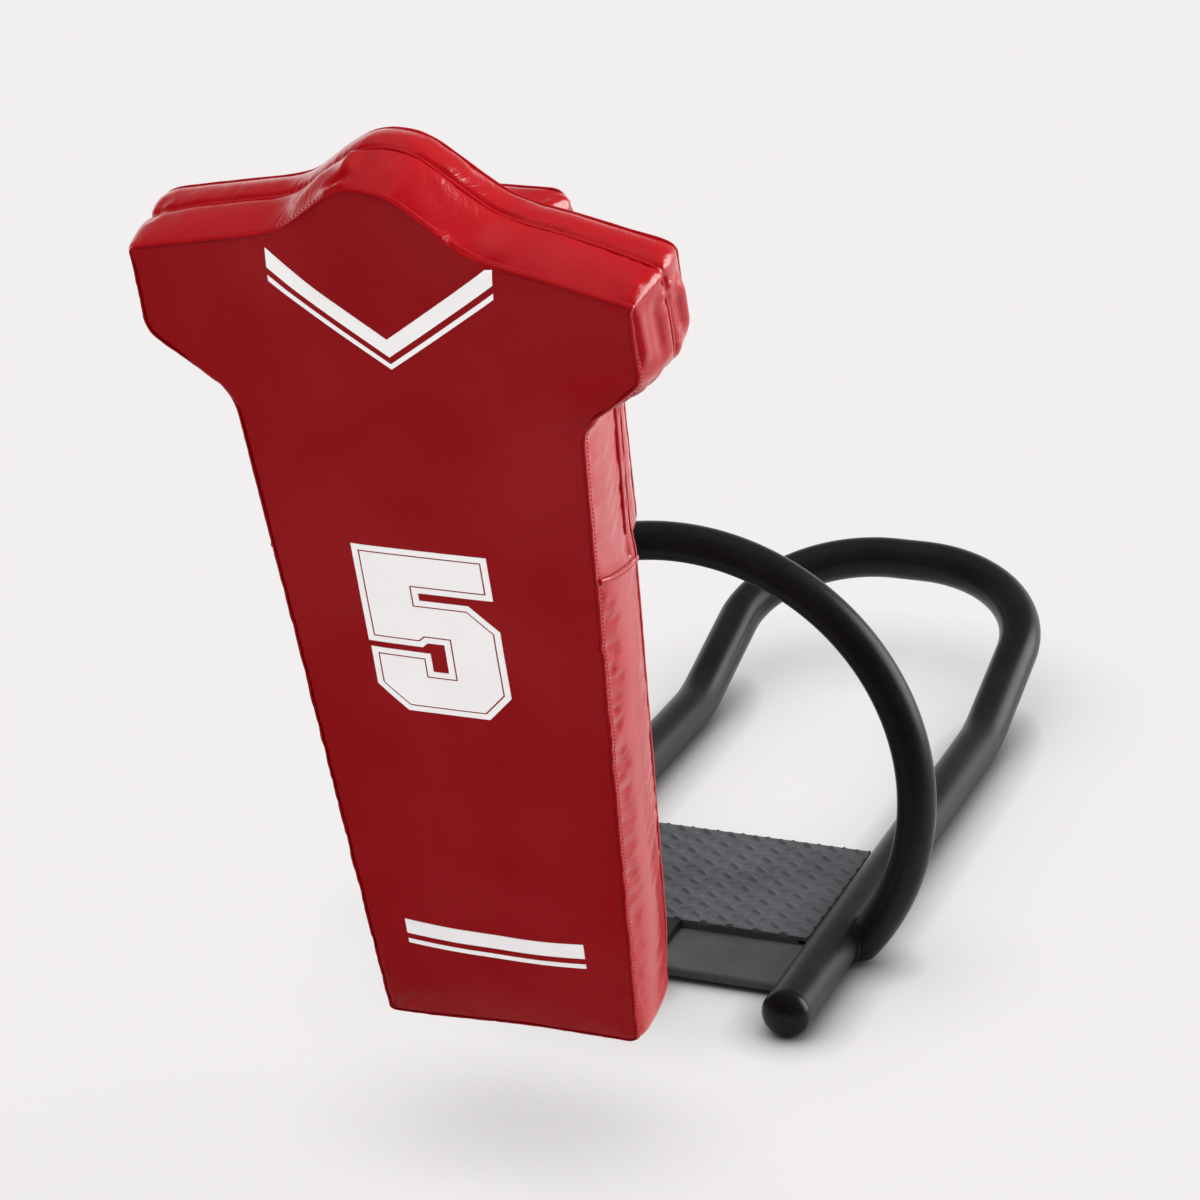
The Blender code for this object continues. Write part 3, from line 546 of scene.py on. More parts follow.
padTurn, padShift = np.array(padPlace.to_3x3()), np.array(padPlace.translation)


def toWorld(points):
    # Points of the pad's own frame (x across, y back, z up the pad) in the world
    return np.asarray(points) @ padTurn.T + padShift


def cutSide(line, start, end, count):
    # A stretch of a closed polyline from one index to another, at an even spacing
    stretch = np.vstack((line[start:], line[: end + 1])) if end < start else line[start : end + 1]
    along = lineLengths(stretch)
    return pick(stretch, along, np.linspace(0.0, along[-1], count + 1))


def outlineSides(look):
    # The outline as four sides that meet in the foot and shoulder corners
    corners, across, up = look["corners"], look["across"], look["up"]
    half = roundedPath([((x, z, 0.0), radius) for (x, z), radius in corners], 6.0)[:, :2]
    loop = np.vstack((half, half[-2:0:-1] * (-1.0, 1.0)))
    loop = resample(np.column_stack((loop, np.zeros(len(loop)))), 0.001, closed=True)[:, :2]
    marks = []
    for corner, side in ((1, 1.0), (look["topCorner"], 1.0), (look["topCorner"], -1.0), (1, -1.0)):
        marks.append(np.argmin(np.linalg.norm(loop - np.array(corners[corner][0]) * (side, 1.0), axis=1)))
    foot, shoulder, farShoulder, farFoot = marks
    bottom, top = cutSide(loop, farFoot, foot, across), cutSide(loop, shoulder, farShoulder, across)[::-1]
    return bottom, cutSide(loop, foot, shoulder, up), top, cutSide(loop, farShoulder, farFoot, up)[::-1]


def patchGrid(bottom, right, top, left, rounds=60):
    # Coons patch between four sides, evened out by averaging; rows go up and columns go across
    v = np.linspace(0.0, 1.0, len(right))[:, None, None]
    u = np.linspace(0.0, 1.0, len(bottom))[None, :, None]
    grid = (1 - v) * bottom[None] + v * top[None] + (1 - u) * left[:, None] + u * right[:, None]
    grid -= (1 - u) * (1 - v) * bottom[0] + u * (1 - v) * bottom[-1]
    grid -= (1 - u) * v * top[0] + u * v * top[-1]
    for step in range(rounds):
        grid[1:-1, 1:-1] = (grid[:-2, 1:-1] + grid[2:, 1:-1] + grid[1:-1, :-2] + grid[1:-1, 2:]) / 4
    return grid


def rimOrder(rows, columns):
    # Indexes of a flattened grid's border, once round
    return np.concatenate((
        np.arange(columns - 1),
        np.arange(rows - 1) * columns + columns - 1,
        (rows - 1) * columns + np.arange(columns - 1, 0, -1),
        np.arange(rows - 1, 0, -1) * columns,
    ))


def fillOutline(look):
    # What a cover is built on: its outline filled with points, and each point's way to the border
    grid = patchGrid(*outlineSides(look))
    flat = grid.reshape(-1, 2)
    rim = rimOrder(*grid.shape[:2])
    border = flat[rim]
    ahead = np.roll(border, -2, axis=0) - np.roll(border, 2, axis=0)
    normals = unitRows(np.column_stack((ahead[:, 1], -ahead[:, 0])))
    normals = unitRows(np.roll(normals, 1, axis=0) + normals + np.roll(normals, -1, axis=0))
    gaps = np.linalg.norm(flat[:, None, :] - border[None, :, :], axis=2)
    return {
        "shape": grid.shape[:2], "flat": flat, "rim": rim, "border": border, "normals": normals,
        "distance": gaps.min(axis=1), "nearest": gaps.argmin(axis=1),
    }


def moveIn(line, normals, inset, depth):
    # Points of the outline's plane moved in against their normals and put at that depth
    moved = line - normals * np.broadcast_to(inset, len(line))[:, None]
    return np.column_stack((moved[:, 0], np.broadcast_to(depth, len(line)), moved[:, 1]))


def shellMesh(name, base, panels, rings, gap):
    # A closed cover: a front and a rear panel joined by rings; it returns the rings' indexes too
    rim, count, run = base["rim"], len(base["flat"]), lineLengths(base["border"])
    faces = [gridFaces(*base["shape"]), gridFaces(*base["shape"], offset=count)[:, ::-1]]
    between = [2 * count + i * len(rim) + np.arange(len(rim)) for i in range(len(rings))]
    order = [rim] + between + [count + rim]
    for first, second in zip(order[:-1], order[1:]):
        faces.append(np.column_stack((first, second, np.roll(second, -1), np.roll(first, -1))))
    mesh = makeMesh(name, np.vstack(panels + rings), np.vstack(faces))
    setValues(mesh, "seamGap", np.concatenate([base["distance"]] * 2 + gap))
    setValues(mesh, "seamRun", np.concatenate([run[base["nearest"]]] * 2 + [run] * len(rings)))
    return mesh, order


def stripInset(share, first, last, bulge):
    # Inset across one strip: at its seams the seams' insets, between them proud by the bulge
    swell = 1.0 - np.abs(2.0 * share - 1.0) ** 3.6
    return blend(first, last, share) * (1.0 - swell) - bulge * swell


def archedInset(share, first, last, bulge):
    # The same for a flatter strip: a line from seam to seam with a low arch on it
    return blend(first, last, share) - bulge * (1.0 - np.abs(2.0 * share - 1.0) ** 2.4)


def padShape(look):
    # The cover's mesh in the pad's frame, its rings, and where along them the sides are grooved
    base = fillOutline(look)
    border, normals, distance, nearest = (base[key] for key in ("border", "normals", "distance", "nearest"))
    height = border[:, 1]
    arm = smoothStep(height, *look["armRise"])
    right = smoothStep(border[:, 0], *look["rightRise"][0]) * smoothStep(height, *look["rightRise"][1])
    seam = blend(*look["seamInset"], smoothStep(height, *look["seamRise"])) + look["rightInset"][0] * right
    corner = look["corners"][look["topCorner"]][0]
    cornerness = bell(np.hypot(np.abs(border[:, 0]) - corner[0], height - corner[1]), look["cornerReach"])
    atWaist, onArm, atCorner = look["grooveInset"]
    groove = blend(atWaist, onArm, arm) + atCorner * cornerness
    place = blend(*look["grooveDepth"], arm)
    onArms, atWaist, underLap, atFoot = look["rearInset"]
    below = blend(underLap, atFoot, 1.0 - smoothStep(height, *look["footRise"]))
    below = blend(below, atWaist, smoothStep(height, *look["lapRise"]))
    rear = blend(below, onArms, arm) + look["rightInset"][1] * right

    # Face: rolls in near its seam as the square of the missing distance, then crowns gently
    roll = (1.0 - np.clip(distance / look["edgeRoll"], 0.0, 1.0)) ** 2
    crown = 1.0 - np.exp(-distance / look["crownReach"])
    pull = (1.0 - np.clip(distance / look["pullReach"], 0.0, 1.0)) ** 2
    frontDepth = look["rollDepth"] * roll - look["faceCrown"] * crown * (1.0 - roll)
    backDepth = look["depth"] - look["rollDepth"] * roll + look["backCrown"] * crown * (1.0 - roll)
    panels = [
        moveIn(base["flat"], normals[nearest], seam[nearest] * pull, frontDepth),
        moveIn(base["flat"], normals[nearest], rear[nearest] * pull, backDepth),
    ]
    # Sides: two strips with a groove between them on the arms, one bulging strip below the lap
    rings = []
    gap = []
    shares = np.linspace(0.0, 1.0, look["strips"] + 1)
    for strip in range(2):
        for share in shares[1:] if strip == 0 else shares[1:-1]:
            if strip == 0:
                depth = share * place
                boxy = stripInset(share, seam, groove, 0.0)
                alone = blend(boxy, archedInset(share, seam, groove, look["stripBulge"]), arm)
                alone = alone + look["notch"] * (share > 0.999) * arm
            else:
                depth = blend(place, look["depth"], share)
                slanted = blend(groove, rear, share**0.75) - look["rearBulge"] * math.sin(math.pi * share)
                alone = blend(slanted, archedInset(share, groove, rear, look["stripBulge"]), arm)
            whole = depth / look["depth"]
            lap = blend(*look["lap"], whole)
            upper = smoothStep(height, *(lap + step for step in look["lapFade"]))
            inset = blend(stripInset(whole, seam, rear, look["lowerBulge"]), alone, upper)
            level = look["rollDepth"] + (look["depth"] - 2.0 * look["rollDepth"]) * whole
            rings.append(moveIn(border, normals, inset, level))
            apart = np.where(upper > 0.5, np.abs(depth - place), 1.0)
            gap.append(np.minimum(np.minimum(depth, look["depth"] - depth), apart))
    grooved = smoothStep(height, *(look["lap"][1] + step for step in look["groovedFrom"]))
    return *shellMesh("pad_cover", base, panels, rings, gap), grooved


clothRules = {
    "quality": 6, "mass": 0.25, "tension_stiffness": 18.0, "compression_stiffness": 18.0,
    "shear_stiffness": 6.0, "air_damping": 3.0, "use_pressure": True, "uniform_pressure_force": 3.0,
    "vertex_group_mass": "pins", "pin_stiffness": 1.0,
}


def simulate(mesh, look, pins):
    # Cloth under pressure with the given pin weights; returns the points it comes to
    start = meshPoints(mesh)
    worker = bpy.data.objects.new("clothWorker", mesh.copy())
    collection.objects.link(worker)
    group = worker.vertex_groups.new(name="pins")
    weights = np.round(pins, 2)
    for weight in np.unique(weights):
        group.add(np.flatnonzero(weights == weight).tolist(), float(weight), "REPLACE")
    cloth = worker.modifiers.new("cloth", "CLOTH")
    for key, value in clothRules.items():
        setattr(cloth.settings, key, value)
    cloth.settings.bending_stiffness = look["bending"]
    cloth.settings.effector_weights.gravity = 0.0
    cloth.collision_settings.use_collision = False
    cloth.point_cache.frame_start = 1
    cloth.point_cache.frame_end = look["frames"]
    for number in range(1, look["frames"] + 1):
        bpy.context.scene.frame_set(number)
    shaped = worker.evaluated_get(bpy.context.evaluated_depsgraph_get())
    move = meshPoints(shaped.to_mesh()) - start
    shaped.to_mesh_clear()
    spent = worker.data
    bpy.data.objects.remove(worker)
    bpy.data.meshes.remove(spent)
    bpy.context.scene.frame_set(1)
    length = np.linalg.norm(move, axis=1, keepdims=True)
    most, mean = (round(float(value) * 1000, 1) for value in (length.max(), length.mean()))
    print("cloth moved", most, "mm at most,", mean, "mm on average")
    return start + move * np.minimum(1.0, look["cap"] / np.maximum(length, 1e-9))


sagging = {
    # The places in the pad's frame between which each sag sets in or fades out
    "top": (0.80, 0.90),
    "crown": (-0.06, 0.0),
    "arm": (0.10, 0.27),
    "pull": (0.15, 0.27),
    "foot": (-0.05, 0.15),
    "footTop": (0.0, 0.30),
    "waverTop": (0.56, 0.63),
    "waverBack": (0.02, 0.05),
    "waverReach": 0.010,
    "wavers": ((1.0, 0.016, 51), (0.6, 0.007, 52)),  # each: its share, the distance it changes over, its seed
}


def sag(points, gap, look):
    # The right arm and the crown hang a little, and so does the left corner of the foot; the seams waver
    across, back, up = points.T.copy()
    line = np.column_stack((across * 0.0, np.sign(across), up))
    waver = sum(share * latticeNoise(line, size, seed) for share, size, seed in sagging["wavers"])
    fade = np.exp(-gap / sagging["waverReach"]) * (1.0 - smoothStep(up, *sagging["waverTop"]))
    fade *= 1.0 - smoothStep(back, *sagging["waverBack"])
    across = across + np.sign(across) * look["waver"] * waver * fade
    top = smoothStep(up, *sagging["top"])
    crown, arm = (smoothStep(across, *sagging[part]) for part in ("crown", "arm"))
    drop = look["crownDroop"] * crown + look["armDroop"] * arm
    foot = look["footDroop"] * smoothStep(-across, *sagging["foot"])
    foot *= 1.0 - smoothStep(up, *sagging["footTop"])
    across = across - look["armPull"] * smoothStep(across, *sagging["pull"]) * top
    return np.column_stack((across, back, up - drop * top - foot))


puckers = {
    "reach": (0.012, 0.020),  # on the front, and more on the sides
    "height": (0.0005, 0.0013),
    "slant": 0.45,
    "spacing": 0.0110,
    "length": 0.040,
    "softHeight": 0.0010,
    "softSpacing": 0.060,
}


def addPuckers(points, normals, gap, run, look):
    # Short creases that start at a seam: noise drawn out away from it and slanting down, fading with distance
    side = 1.0 - np.clip(np.abs(normals[:, 1]), 0.0, 1.0)
    reach, height = (low + more * side for low, more in (look["reach"], look["height"]))
    slant = run + look["slant"] * gap * side
    lattice = np.column_stack((slant / look["spacing"], gap / look["length"], side * 3.0))
    crease = latticeNoise(lattice, 1.0, 11) + 0.7 * latticeNoise(lattice * (0.5, 1.0, 1.0), 1.0, 12)
    uneven = 0.6 + 0.6 * latticeNoise(points, 0.10, 13)
    height = height * uneven * crease * np.exp(-gap / reach) * smoothStep(gap, 0.0, 0.005)
    soft = look["softHeight"] * latticeNoise(points, look["softSpacing"], 14) * smoothStep(gap, 0.002, 0.03)
    return points + normals * (height + soft)[:, None]


def addFolds(points, normals, folds):
    # Each fold is a ridge (or a valley) between the points nearest to its two ends, where it fades out
    lift = np.zeros(len(points))
    for fold in folds:
        nearest = [np.argmin(np.linalg.norm(points - spot, axis=1)) for spot in (fold[:3], fold[3:6])]
        start, end = points[nearest]
        width, height = fold[6:]
        along = end - start
        share = (points - start) @ along / np.linalg.norm(along) ** 2
        foot = start + np.clip(share, 0.0, 1.0)[:, None] * along
        away = np.linalg.norm(points - foot, axis=1)
        fade = smoothStep(share, -0.15, 0.25) * (1.0 - smoothStep(share, 0.75, 1.15))
        lift += height * bell(away, width) * fade
    return points + normals * lift[:, None]


def creased(mesh, folds):
    # The cover after one Catmull-Clark step, and its points with puckers and folds
    mesh = modified(mesh, "SUBSURF", levels=1)
    mesh.shade_smooth()
    normals = meshPoints(mesh, "normal")
    gap, run = (getValues(mesh, name) for name in seamValues)
    points = addPuckers(meshPoints(mesh), normals, gap, run, puckers)
    return mesh, addFolds(points, normals, folds)


# Each fold in tenths of a millimetre: its two ends (across, back, up), its width and its height
padFolds = np.array([
    (-300, 580, 10700, -310, 260, 10650, 45, 42), (-160, 540, 10750, -200, 240, 10710, 65, -30),
    (-520, 50, 10520, -250, 90, 10670, 40, 42), (-460, 140, 10570, -260, 200, 10690, 42, -45),
    (-920, 120, 10300, -620, 440, 10580, 80, 30), (640, 40, 10230, 730, 0, 10110, 42, 32),
    (700, -60, 10030, 1000, -60, 9850, 100, 18), (1200, 20, 10000, 1280, 480, 10040, 90, 24),
    (2460, 20, 9650, 2500, 300, 9750, 50, 32), (1900, 30, 8150, 2310, 100, 8440, 42, 44),
    (2250, 90, 8400, 2550, 200, 8620, 42, 40), (1920, 10, 8220, 2410, 120, 8540, 40, -40),
    (1960, 160, 8220, 2580, 350, 8680, 48, 44), (2000, 240, 8260, 2560, 480, 8720, 46, -42),
    (2150, 450, 8380, 2620, 700, 8800, 55, 42), (1760, -40, 8000, 2360, -30, 8500, 70, 26),
    (1680, -40, 8150, 2220, -30, 8660, 75, -22), (2500, 120, 9550, 2530, 160, 8900, 52, 36),
    (2580, 340, 9450, 2600, 380, 8850, 55, -36), (2620, 850, 9400, 2560, 880, 8800, 65, 50),
    (2620, 740, 9300, 2580, 780, 8900, 50, -36), (-2050, 20, 8260, -2620, 300, 8680, 48, 42),
    (-2000, 140, 8260, -2700, 520, 8800, 48, -40), (-1760, -40, 8000, -2360, -10, 8580, 80, 26),
    (-2620, 40, 9750, -2770, 460, 9300, 55, 40), (-2770, 200, 9600, -2770, 300, 9050, 55, 40),
    (-2770, 800, 9500, -2770, 880, 9000, 65, 40),
]) / 1e4


scallopLook = {
    "height": (-0.0015, 0.0022),  # of the hollows and of the ridges
    "reach": 0.012,
    "uneven": (1.4, 1.2),
    "slant": (0.002, 0.006),
    "width": 0.0044,
    "lines": (  # each: its corners (across, up), the spacing and the seed
        ([(0.222, 0.987), (0.242, 0.979), (0.255, 0.962), (0.260, 0.925)], 0.0087, 31),
        ([(-0.245, 0.994), (-0.262, 0.990), (-0.275, 0.972), (-0.275, 0.925)], 0.0105, 32),
    ),
}
valleyLook = {
    "heights": (0.060, 0.600, 0.0105),  # the first, the end and the step
    "reach": (0.013, 0.020),  # of each pair, the least and what is added at most
    "depth": (0.0005, 0.0012),
    "deepest": (0.43, 0.13),  # at what height, and over what distance
    "side": (0.150, 0.0465),  # of the waist: half its width at the foot, and what is added per metre up
    "front": 0.0055,
    "width": 0.0036,
}


def scallops(look, corners, spacing, seed):
    # Small folds across the sides' groove, ridge and hollow by turns, along a line of (across, up)
    line = resample(np.array([(x, 0.0, z) for x, z in corners]), spacing)
    drift = latticeNoise(line, spacing, seed)
    fade = np.sin(math.pi * np.linspace(0.08, 0.95, len(line)))
    height = np.array(look["height"])[np.arange(len(line)) % 2] * (1.0 + look["uneven"][0] * drift) * fade
    reach = look["reach"] * (1.0 + look["uneven"][1] * drift)
    ahead, behind = pad["grooveDepth"][1] - reach, pad["grooveDepth"][1] + reach * 0.9
    aside, rise = look["slant"][0], look["slant"][1] / 2
    x, z, width = line[:, 0], line[:, 2], np.full(len(line), look["width"])
    return np.column_stack((x, ahead, z - rise, x + aside, behind, z + rise, width, height))


def seamCreases(look, side, seed):
    # Short valleys that start at the front seam under the lap and slant back and down
    heights = np.arange(*look["heights"])
    spots = np.column_stack((heights * 0.0, heights * 0.0 + side, heights))
    drift = latticeNoise(spots, 0.004, seed)
    reach = look["reach"][0] + look["reach"][1] * np.abs(latticeNoise(spots, 0.012, seed + 1))
    shallow, more = look["depth"]
    depth = -(shallow + more * bell(heights - look["deepest"][0], look["deepest"][1])) * (1.0 + drift)
    up = heights + 0.004 * drift
    across = side * (look["side"][0] + look["side"][1] * up)
    front, width = (np.full(len(up), look[label]) for label in ("front", "width"))
    return np.column_stack((across, front, up, across, front + reach, up - 0.4 * reach, width, depth))


def makePadCover(look):
    mesh, rings, grooved = padShape(look)
    pins = np.full(len(mesh.vertices), look["pins"][0])
    pins[np.concatenate(rings[1:-1])] = look["pins"][1]
    pins[np.concatenate((rings[0], rings[-1]))] = 1.0
    middle = rings[look["strips"]]
    pins[middle] = grooved
    points = sag(simulate(mesh, look, pins), getValues(mesh, "seamGap"), look)
    setPoints(mesh, points)
    lines = {
        "front": points[rings[0]], "behind": points[rings[1]], "mid": points[middle],
        "rear": points[rings[-1]], "grooved": grooved,
    }
    folds = [padFolds] + [scallops(scallopLook, *line) for line in scallopLook["lines"]]
    folds = np.vstack(folds + [seamCreases(valleyLook, side, seed) for side, seed in ((1.0, 41), (-1.0, 43))])
    mesh, finer = creased(mesh, folds)
    cover = addPadPiece("pad_cover", mesh, replaced=("pad_front_layer", "pad_rear_layer"), points=finer)
    print("pad cover:", len(mesh.polygons), "faces")
    return mesh, lines


coverMesh, seamLines = makePadCover(pad)
coverPoints = ((meshPoints(coverMesh) - padShift) @ padTurn).tolist()
padTree = BVHTree.FromPolygons(coverPoints, [tuple(face.vertices) for face in coverMesh.polygons])
rayStart, rayLength = 0.2, 0.5  # how far before its point a ray starts, and how far it goes


def layOn(points, direction, lift=0.0):
    # Each point thrown along the direction onto the cover, then lifted off it against that direction
    direction = Vector(direction)
    landed = np.array(points, float)
    for i, point in enumerate(landed):
        hit = padTree.ray_cast(Vector(point) - direction * rayStart, direction, rayLength)[0]
        if hit is not None:
            landed[i] = np.array(hit - direction * lift)
    return landed


def bandMesh(name, line, inward, outward, section, closed=True):
    # A cross-section given as (along inward, along outward) carried along a line
    across, rise = section.T[:, None, :, None]
    return sweepMesh(name, line[:, None] + across * inward[:, None] + rise * outward[:, None], closed)


def stitchMesh(line, outward, look):
    # A row of small rounded stitches lying along the line, each of four rings of six points
    along = lineLengths(line)
    middles = np.arange(look["pitch"] / 2, along[-1] - look["pitch"] / 2, look["pitch"])
    start, end = (pick(line, along, middles + shift) for shift in (-look["length"] / 2, look["length"] / 2))
    up = unitRows(pick(outward, along, middles))
    way = unitRows(end - start)
    aside = unitRows(np.cross(way, up))
    start, end, up, aside = (part[:, None, None] for part in (start, end, up, aside))
    share, thick, rise = look["stations"].T[:, None, :, None, None]
    turn = np.linspace(0.0, fullTurn, 6, endpoint=False)[None, None, :, None]
    spread = look["radius"] * thick * (np.cos(turn) * aside + np.sin(turn) * up)
    points = start + (end - start) * share + rise * look["radius"] * up + spread
    first = 24 * np.arange(len(middles))
    faces = (gridFaces(4, 6, False, True)[None] + first[:, None, None]).reshape(-1, 4).tolist()
    faces += (first[:, None] + np.arange(6)[::-1]).tolist() + (first[:, None] + 18 + np.arange(6)).tolist()
    return makeMesh("stitches", points.reshape(-1, 3), faces)


seamLook = {
    # Sections of the folded edge and of the lap: along the cover and away from it
    "edge": np.array([(-14, -12), (-16, 2), (-8, 11), (8, 13), (40, 12), (52, 7), (55, -10)]) / 1e4,
    "lap": np.array([(-2, -12), (-12, 14), (-6, 32), (14, 37), (44, 30), (68, 14), (84, -12)]) / 1e4,
    "stations": np.array([(0.0, 0.35, -0.3), (0.18, 1.0, 0.25), (0.82, 1.0, 0.25), (1.0, 0.35, -0.3)]),
    "pitch": 0.0052,
    "length": 0.0034,
    "radius": 0.00045,
    "stitchInset": 0.0036,
    "stitchRise": 0.0012,
    "wave": (0.35, 0.007),  # how uneven the front seam is, and over what distance
    "pipe": 0.0031,
    "rearPipe": 0.0021,
    "lapPoints": 40,
    "lapEnds": (0.005, 0.004),  # how far the lapped seams stay from the front edge and from the rear
    "lapStitch": (0.0040, 0.0031),
    "lapProbe": 0.012,  # between the two heights that show which way is down the cover
}


def makeSeams(look, lines):
    front, behind = denseLine(lines["front"], 3), denseLine(lines["behind"], 3)
    tangent = unitRows(np.roll(front, -1, axis=0) - np.roll(front, 1, axis=0))
    inward = unitRows(behind - front)
    outward = np.cross(tangent, inward)
    outward *= np.sign(np.sum(outward * (front - front.mean(axis=0)), axis=1).mean())
    outward = unitRows(outward)
    wave = 1.0 + look["wave"][0] * latticeNoise(front, look["wave"][1], 21)[:, None]
    stitchLine = front + inward * look["stitchInset"] + outward * look["stitchRise"] * wave
    grooved = np.flatnonzero(lines["grooved"] > 0.5)  # only there has the groove a piping
    pipe = denseLine(lines["mid"][grooved[0] : grooved[-1] + 1], 2, closed=False)
    parts = [
        ("front_seam", bandMesh("seam", front, inward, outward * wave, look["edge"]), "redVinyl"),
        ("front_stitches", stitchMesh(stitchLine, outward, look), "redThread"),
        ("groove_piping", pipingMesh(pipe, look["pipe"]), "redVinyl"),
        ("rear_piping", pipingMesh(denseLine(lines["rear"], 2), look["rearPipe"], 22), "redVinyl"),
    ]
    for side, label in ((1.0, "right"), (-1.0, "left")):
        depth = np.linspace(look["lapEnds"][0], pad["depth"] - look["lapEnds"][1], look["lapPoints"])
        height = pad["lap"][0] + (pad["lap"][1] - pad["lap"][0]) * depth / pad["depth"]
        far = np.full(len(depth), side * rayStart)
        starts = [np.column_stack((far, depth, height - drop)) for drop in (0.0, look["lapProbe"])]
        landed, below = (layOn(start, (-side, 0.0, 0.0)) for start in starts)
        down = unitRows(below - landed)
        out = unitRows(np.cross(unitRows(np.gradient(landed, axis=0)), down))
        out *= np.sign(out[:, 0].mean()) * side
        stitchLine = landed + down * look["lapStitch"][0] + out * look["lapStitch"][1]
        parts += [
            ("lap_seam_" + label, bandMesh("lap", landed, down, out, look["lap"], closed=False), "redVinyl"),
            ("lap_stitches_" + label, stitchMesh(stitchLine, out, look), "redThread"),
        ]
    for part in parts:
        addPadPiece(*part)
    print("seams made:", len(parts))


def insetPolygon(corners, gap):
    # Each side of a clockwise polygon moved in by the gap; sides meet in their new corners
    sides = unitRows(np.roll(corners, -1, axis=0) - corners)
    inward = np.column_stack((sides[:, 1], -sides[:, 0]))
    moved = []
    for i in range(len(corners)):
        before, after = sides[i - 1], sides[i]
        start, other = corners[i] + inward[i - 1] * gap, corners[i] + inward[i] * gap
        moved.append(start + before * np.linalg.solve(np.array((before, -after)).T, other - start)[0])
    return np.array(moved)


def printMesh(name, outer, inner, look):
    # A flat shape (with a hole where inner is given), cut into small faces and laid on the front of the cover
    loops = [[Vector((x, z, 0.0)) for x, z in loop] for loop in (outer, inner) if loop is not None]
    bm = bmesh.new()
    corners = [bm.verts.new((point.x, 0.0, point.y)) for loop in loops for point in loop]
    for triangle in tessellate_polygon(loops):
        bm.faces.new([corners[i] for i in triangle])
    low, high = np.min(outer, axis=0), np.max(outer, axis=0)
    for k, normal in enumerate((Vector((1, 0, 0)), Vector((0, 0, 1)))):
        for place in np.arange(low[k] + look["step"], high[k], look["step"]):
            geometry = bm.verts[:] + bm.edges[:] + bm.faces[:]
            bmesh.ops.bisect_plane(bm, geom=geometry, plane_co=normal * place, plane_no=normal)
    bmesh.ops.remove_doubles(bm, verts=bm.verts, dist=1e-6)
    spots = np.array([vert.co for vert in bm.verts])
    for vert, spot in zip(bm.verts, layOn(spots, (0.0, 1.0, 0.0), look["lift"])):
        vert.co = spot
    walls = bmesh.ops.extrude_edge_only(bm, edges=[edge for edge in bm.edges if edge.is_boundary])
    for part in walls["geom"]:
        if isinstance(part, bmesh.types.BMVert):
            part.co.y += look["wall"]
    bmesh.ops.recalc_face_normals(bm, faces=bm.faces)
    if sum(face.normal.y for face in bm.faces if abs(face.normal.y) > 0.7) > 0:
        bmesh.ops.reverse_faces(bm, faces=bm.faces)
    mesh = bpy.data.meshes.new(name)
    bm.to_mesh(mesh)
    bm.free()
    mesh.shade_smooth()
    mesh.set_sharp_from_angle(angle=math.radians(50.0))
    return mesh


# A plain block numeral in tenths of a millimetre, clockwise from its top left corner
numeral = np.array([
    (-815, 6545), (675, 6545), (675, 6005), (-150, 6005), (-150, 5910), (390, 5910), (700, 5620), (700, 4760),
    (425, 4455), (-490, 4455), (-800, 4760), (-800, 5240), (-125, 5240), (-125, 5010), (50, 5010), (50, 5375),
    (-135, 5375), (-200, 5315), (-815, 5315),
]) / 1e4
printLook = {
    "outline": 0.0068, "gap": 0.0017, "step": 0.006, "lift": 0.0004, "wall": 0.0009,
    "chevron": (0.118, 0.088),  # half width, and how far the arms rise from the tip
    "collar": {"collar_broad": (0.905, 0.020), "collar_thin": (0.877, 0.006)},  # tip and thickness
    "bar": 0.105,
    "foot": {"foot_bar_broad": (0.142, 0.122), "foot_bar_thin": (0.114, 0.108)},  # top and bottom
}


def chevron(look, tip, thickness):
    # A broad V, clockwise, with its height measured straight up
    half, top = look["chevron"][0], tip + look["chevron"][1]
    return [
        (-half, top), (0.0, tip), (half, top), (half, top - thickness), (0.0, tip - thickness),
        (-half, top - thickness),
    ]


def bar(look, top, bottom):
    half = look["bar"]
    return [(-half, top), (half, top), (half, bottom), (-half, bottom)]


def makePrints(look):
    shapes = [
        ("numeral_outline", numeral, insetPolygon(numeral, look["outline"])),
        ("numeral_fill", insetPolygon(numeral, look["outline"] + look["gap"]), None),
    ]
    shapes += [(name, chevron(look, *sizes), None) for name, sizes in look["collar"].items()]
    shapes += [(name, bar(look, *sizes), None) for name, sizes in look["foot"].items()]
    for name, outer, hole in shapes:
        addPadPiece(name, printMesh(name, outer, hole, look), "whiteInk")
    print("prints made:", len(shapes))


makeSeams(seamLook, seamLines)
makePrints(printLook)


block = {
    "corners": [
        ((0.0, 0.590), 0.0), ((0.170, 0.590), 0.018), ((0.175, 0.817), 0.120), ((0.140, 0.9956), 0.018),
        ((0.0, 0.9956), 0.0),
    ],
    "topCorner": 3,
    "front": 0.1067,
    "back": 0.1529,
    "across": 34,
    "up": 38,
    "rings": 6,
    "crown": 0.005,
    "inset": 0.005,
    "reach": 0.04,  # how far from the border it is drawn in, and crowned
    "sleeveHalf": 0.02075,
    "sleeveDepth": 0.12975,
    "sleeve": (0.560, 0.9616),  # from under the block up to the sleeve's end
    "pipe": 0.0019,
    "pins": 0.05,
    "bending": 0.3,
    "frames": 16,
    "cap": 0.006,
    "folds": np.array([
        (1300, 1100, 9940, 1460, 1480, 9850, 50, 30), (1200, 1120, 9960, 1280, 1500, 9940, 55, -28),
        (1500, 1150, 9700, 1460, 1500, 9900, 55, 26), (-1300, 1100, 9940, -1460, 1480, 9850, 50, 26),
        (-1180, 1120, 9960, -1260, 1500, 9940, 55, -24),
    ]) / 1e4,
}


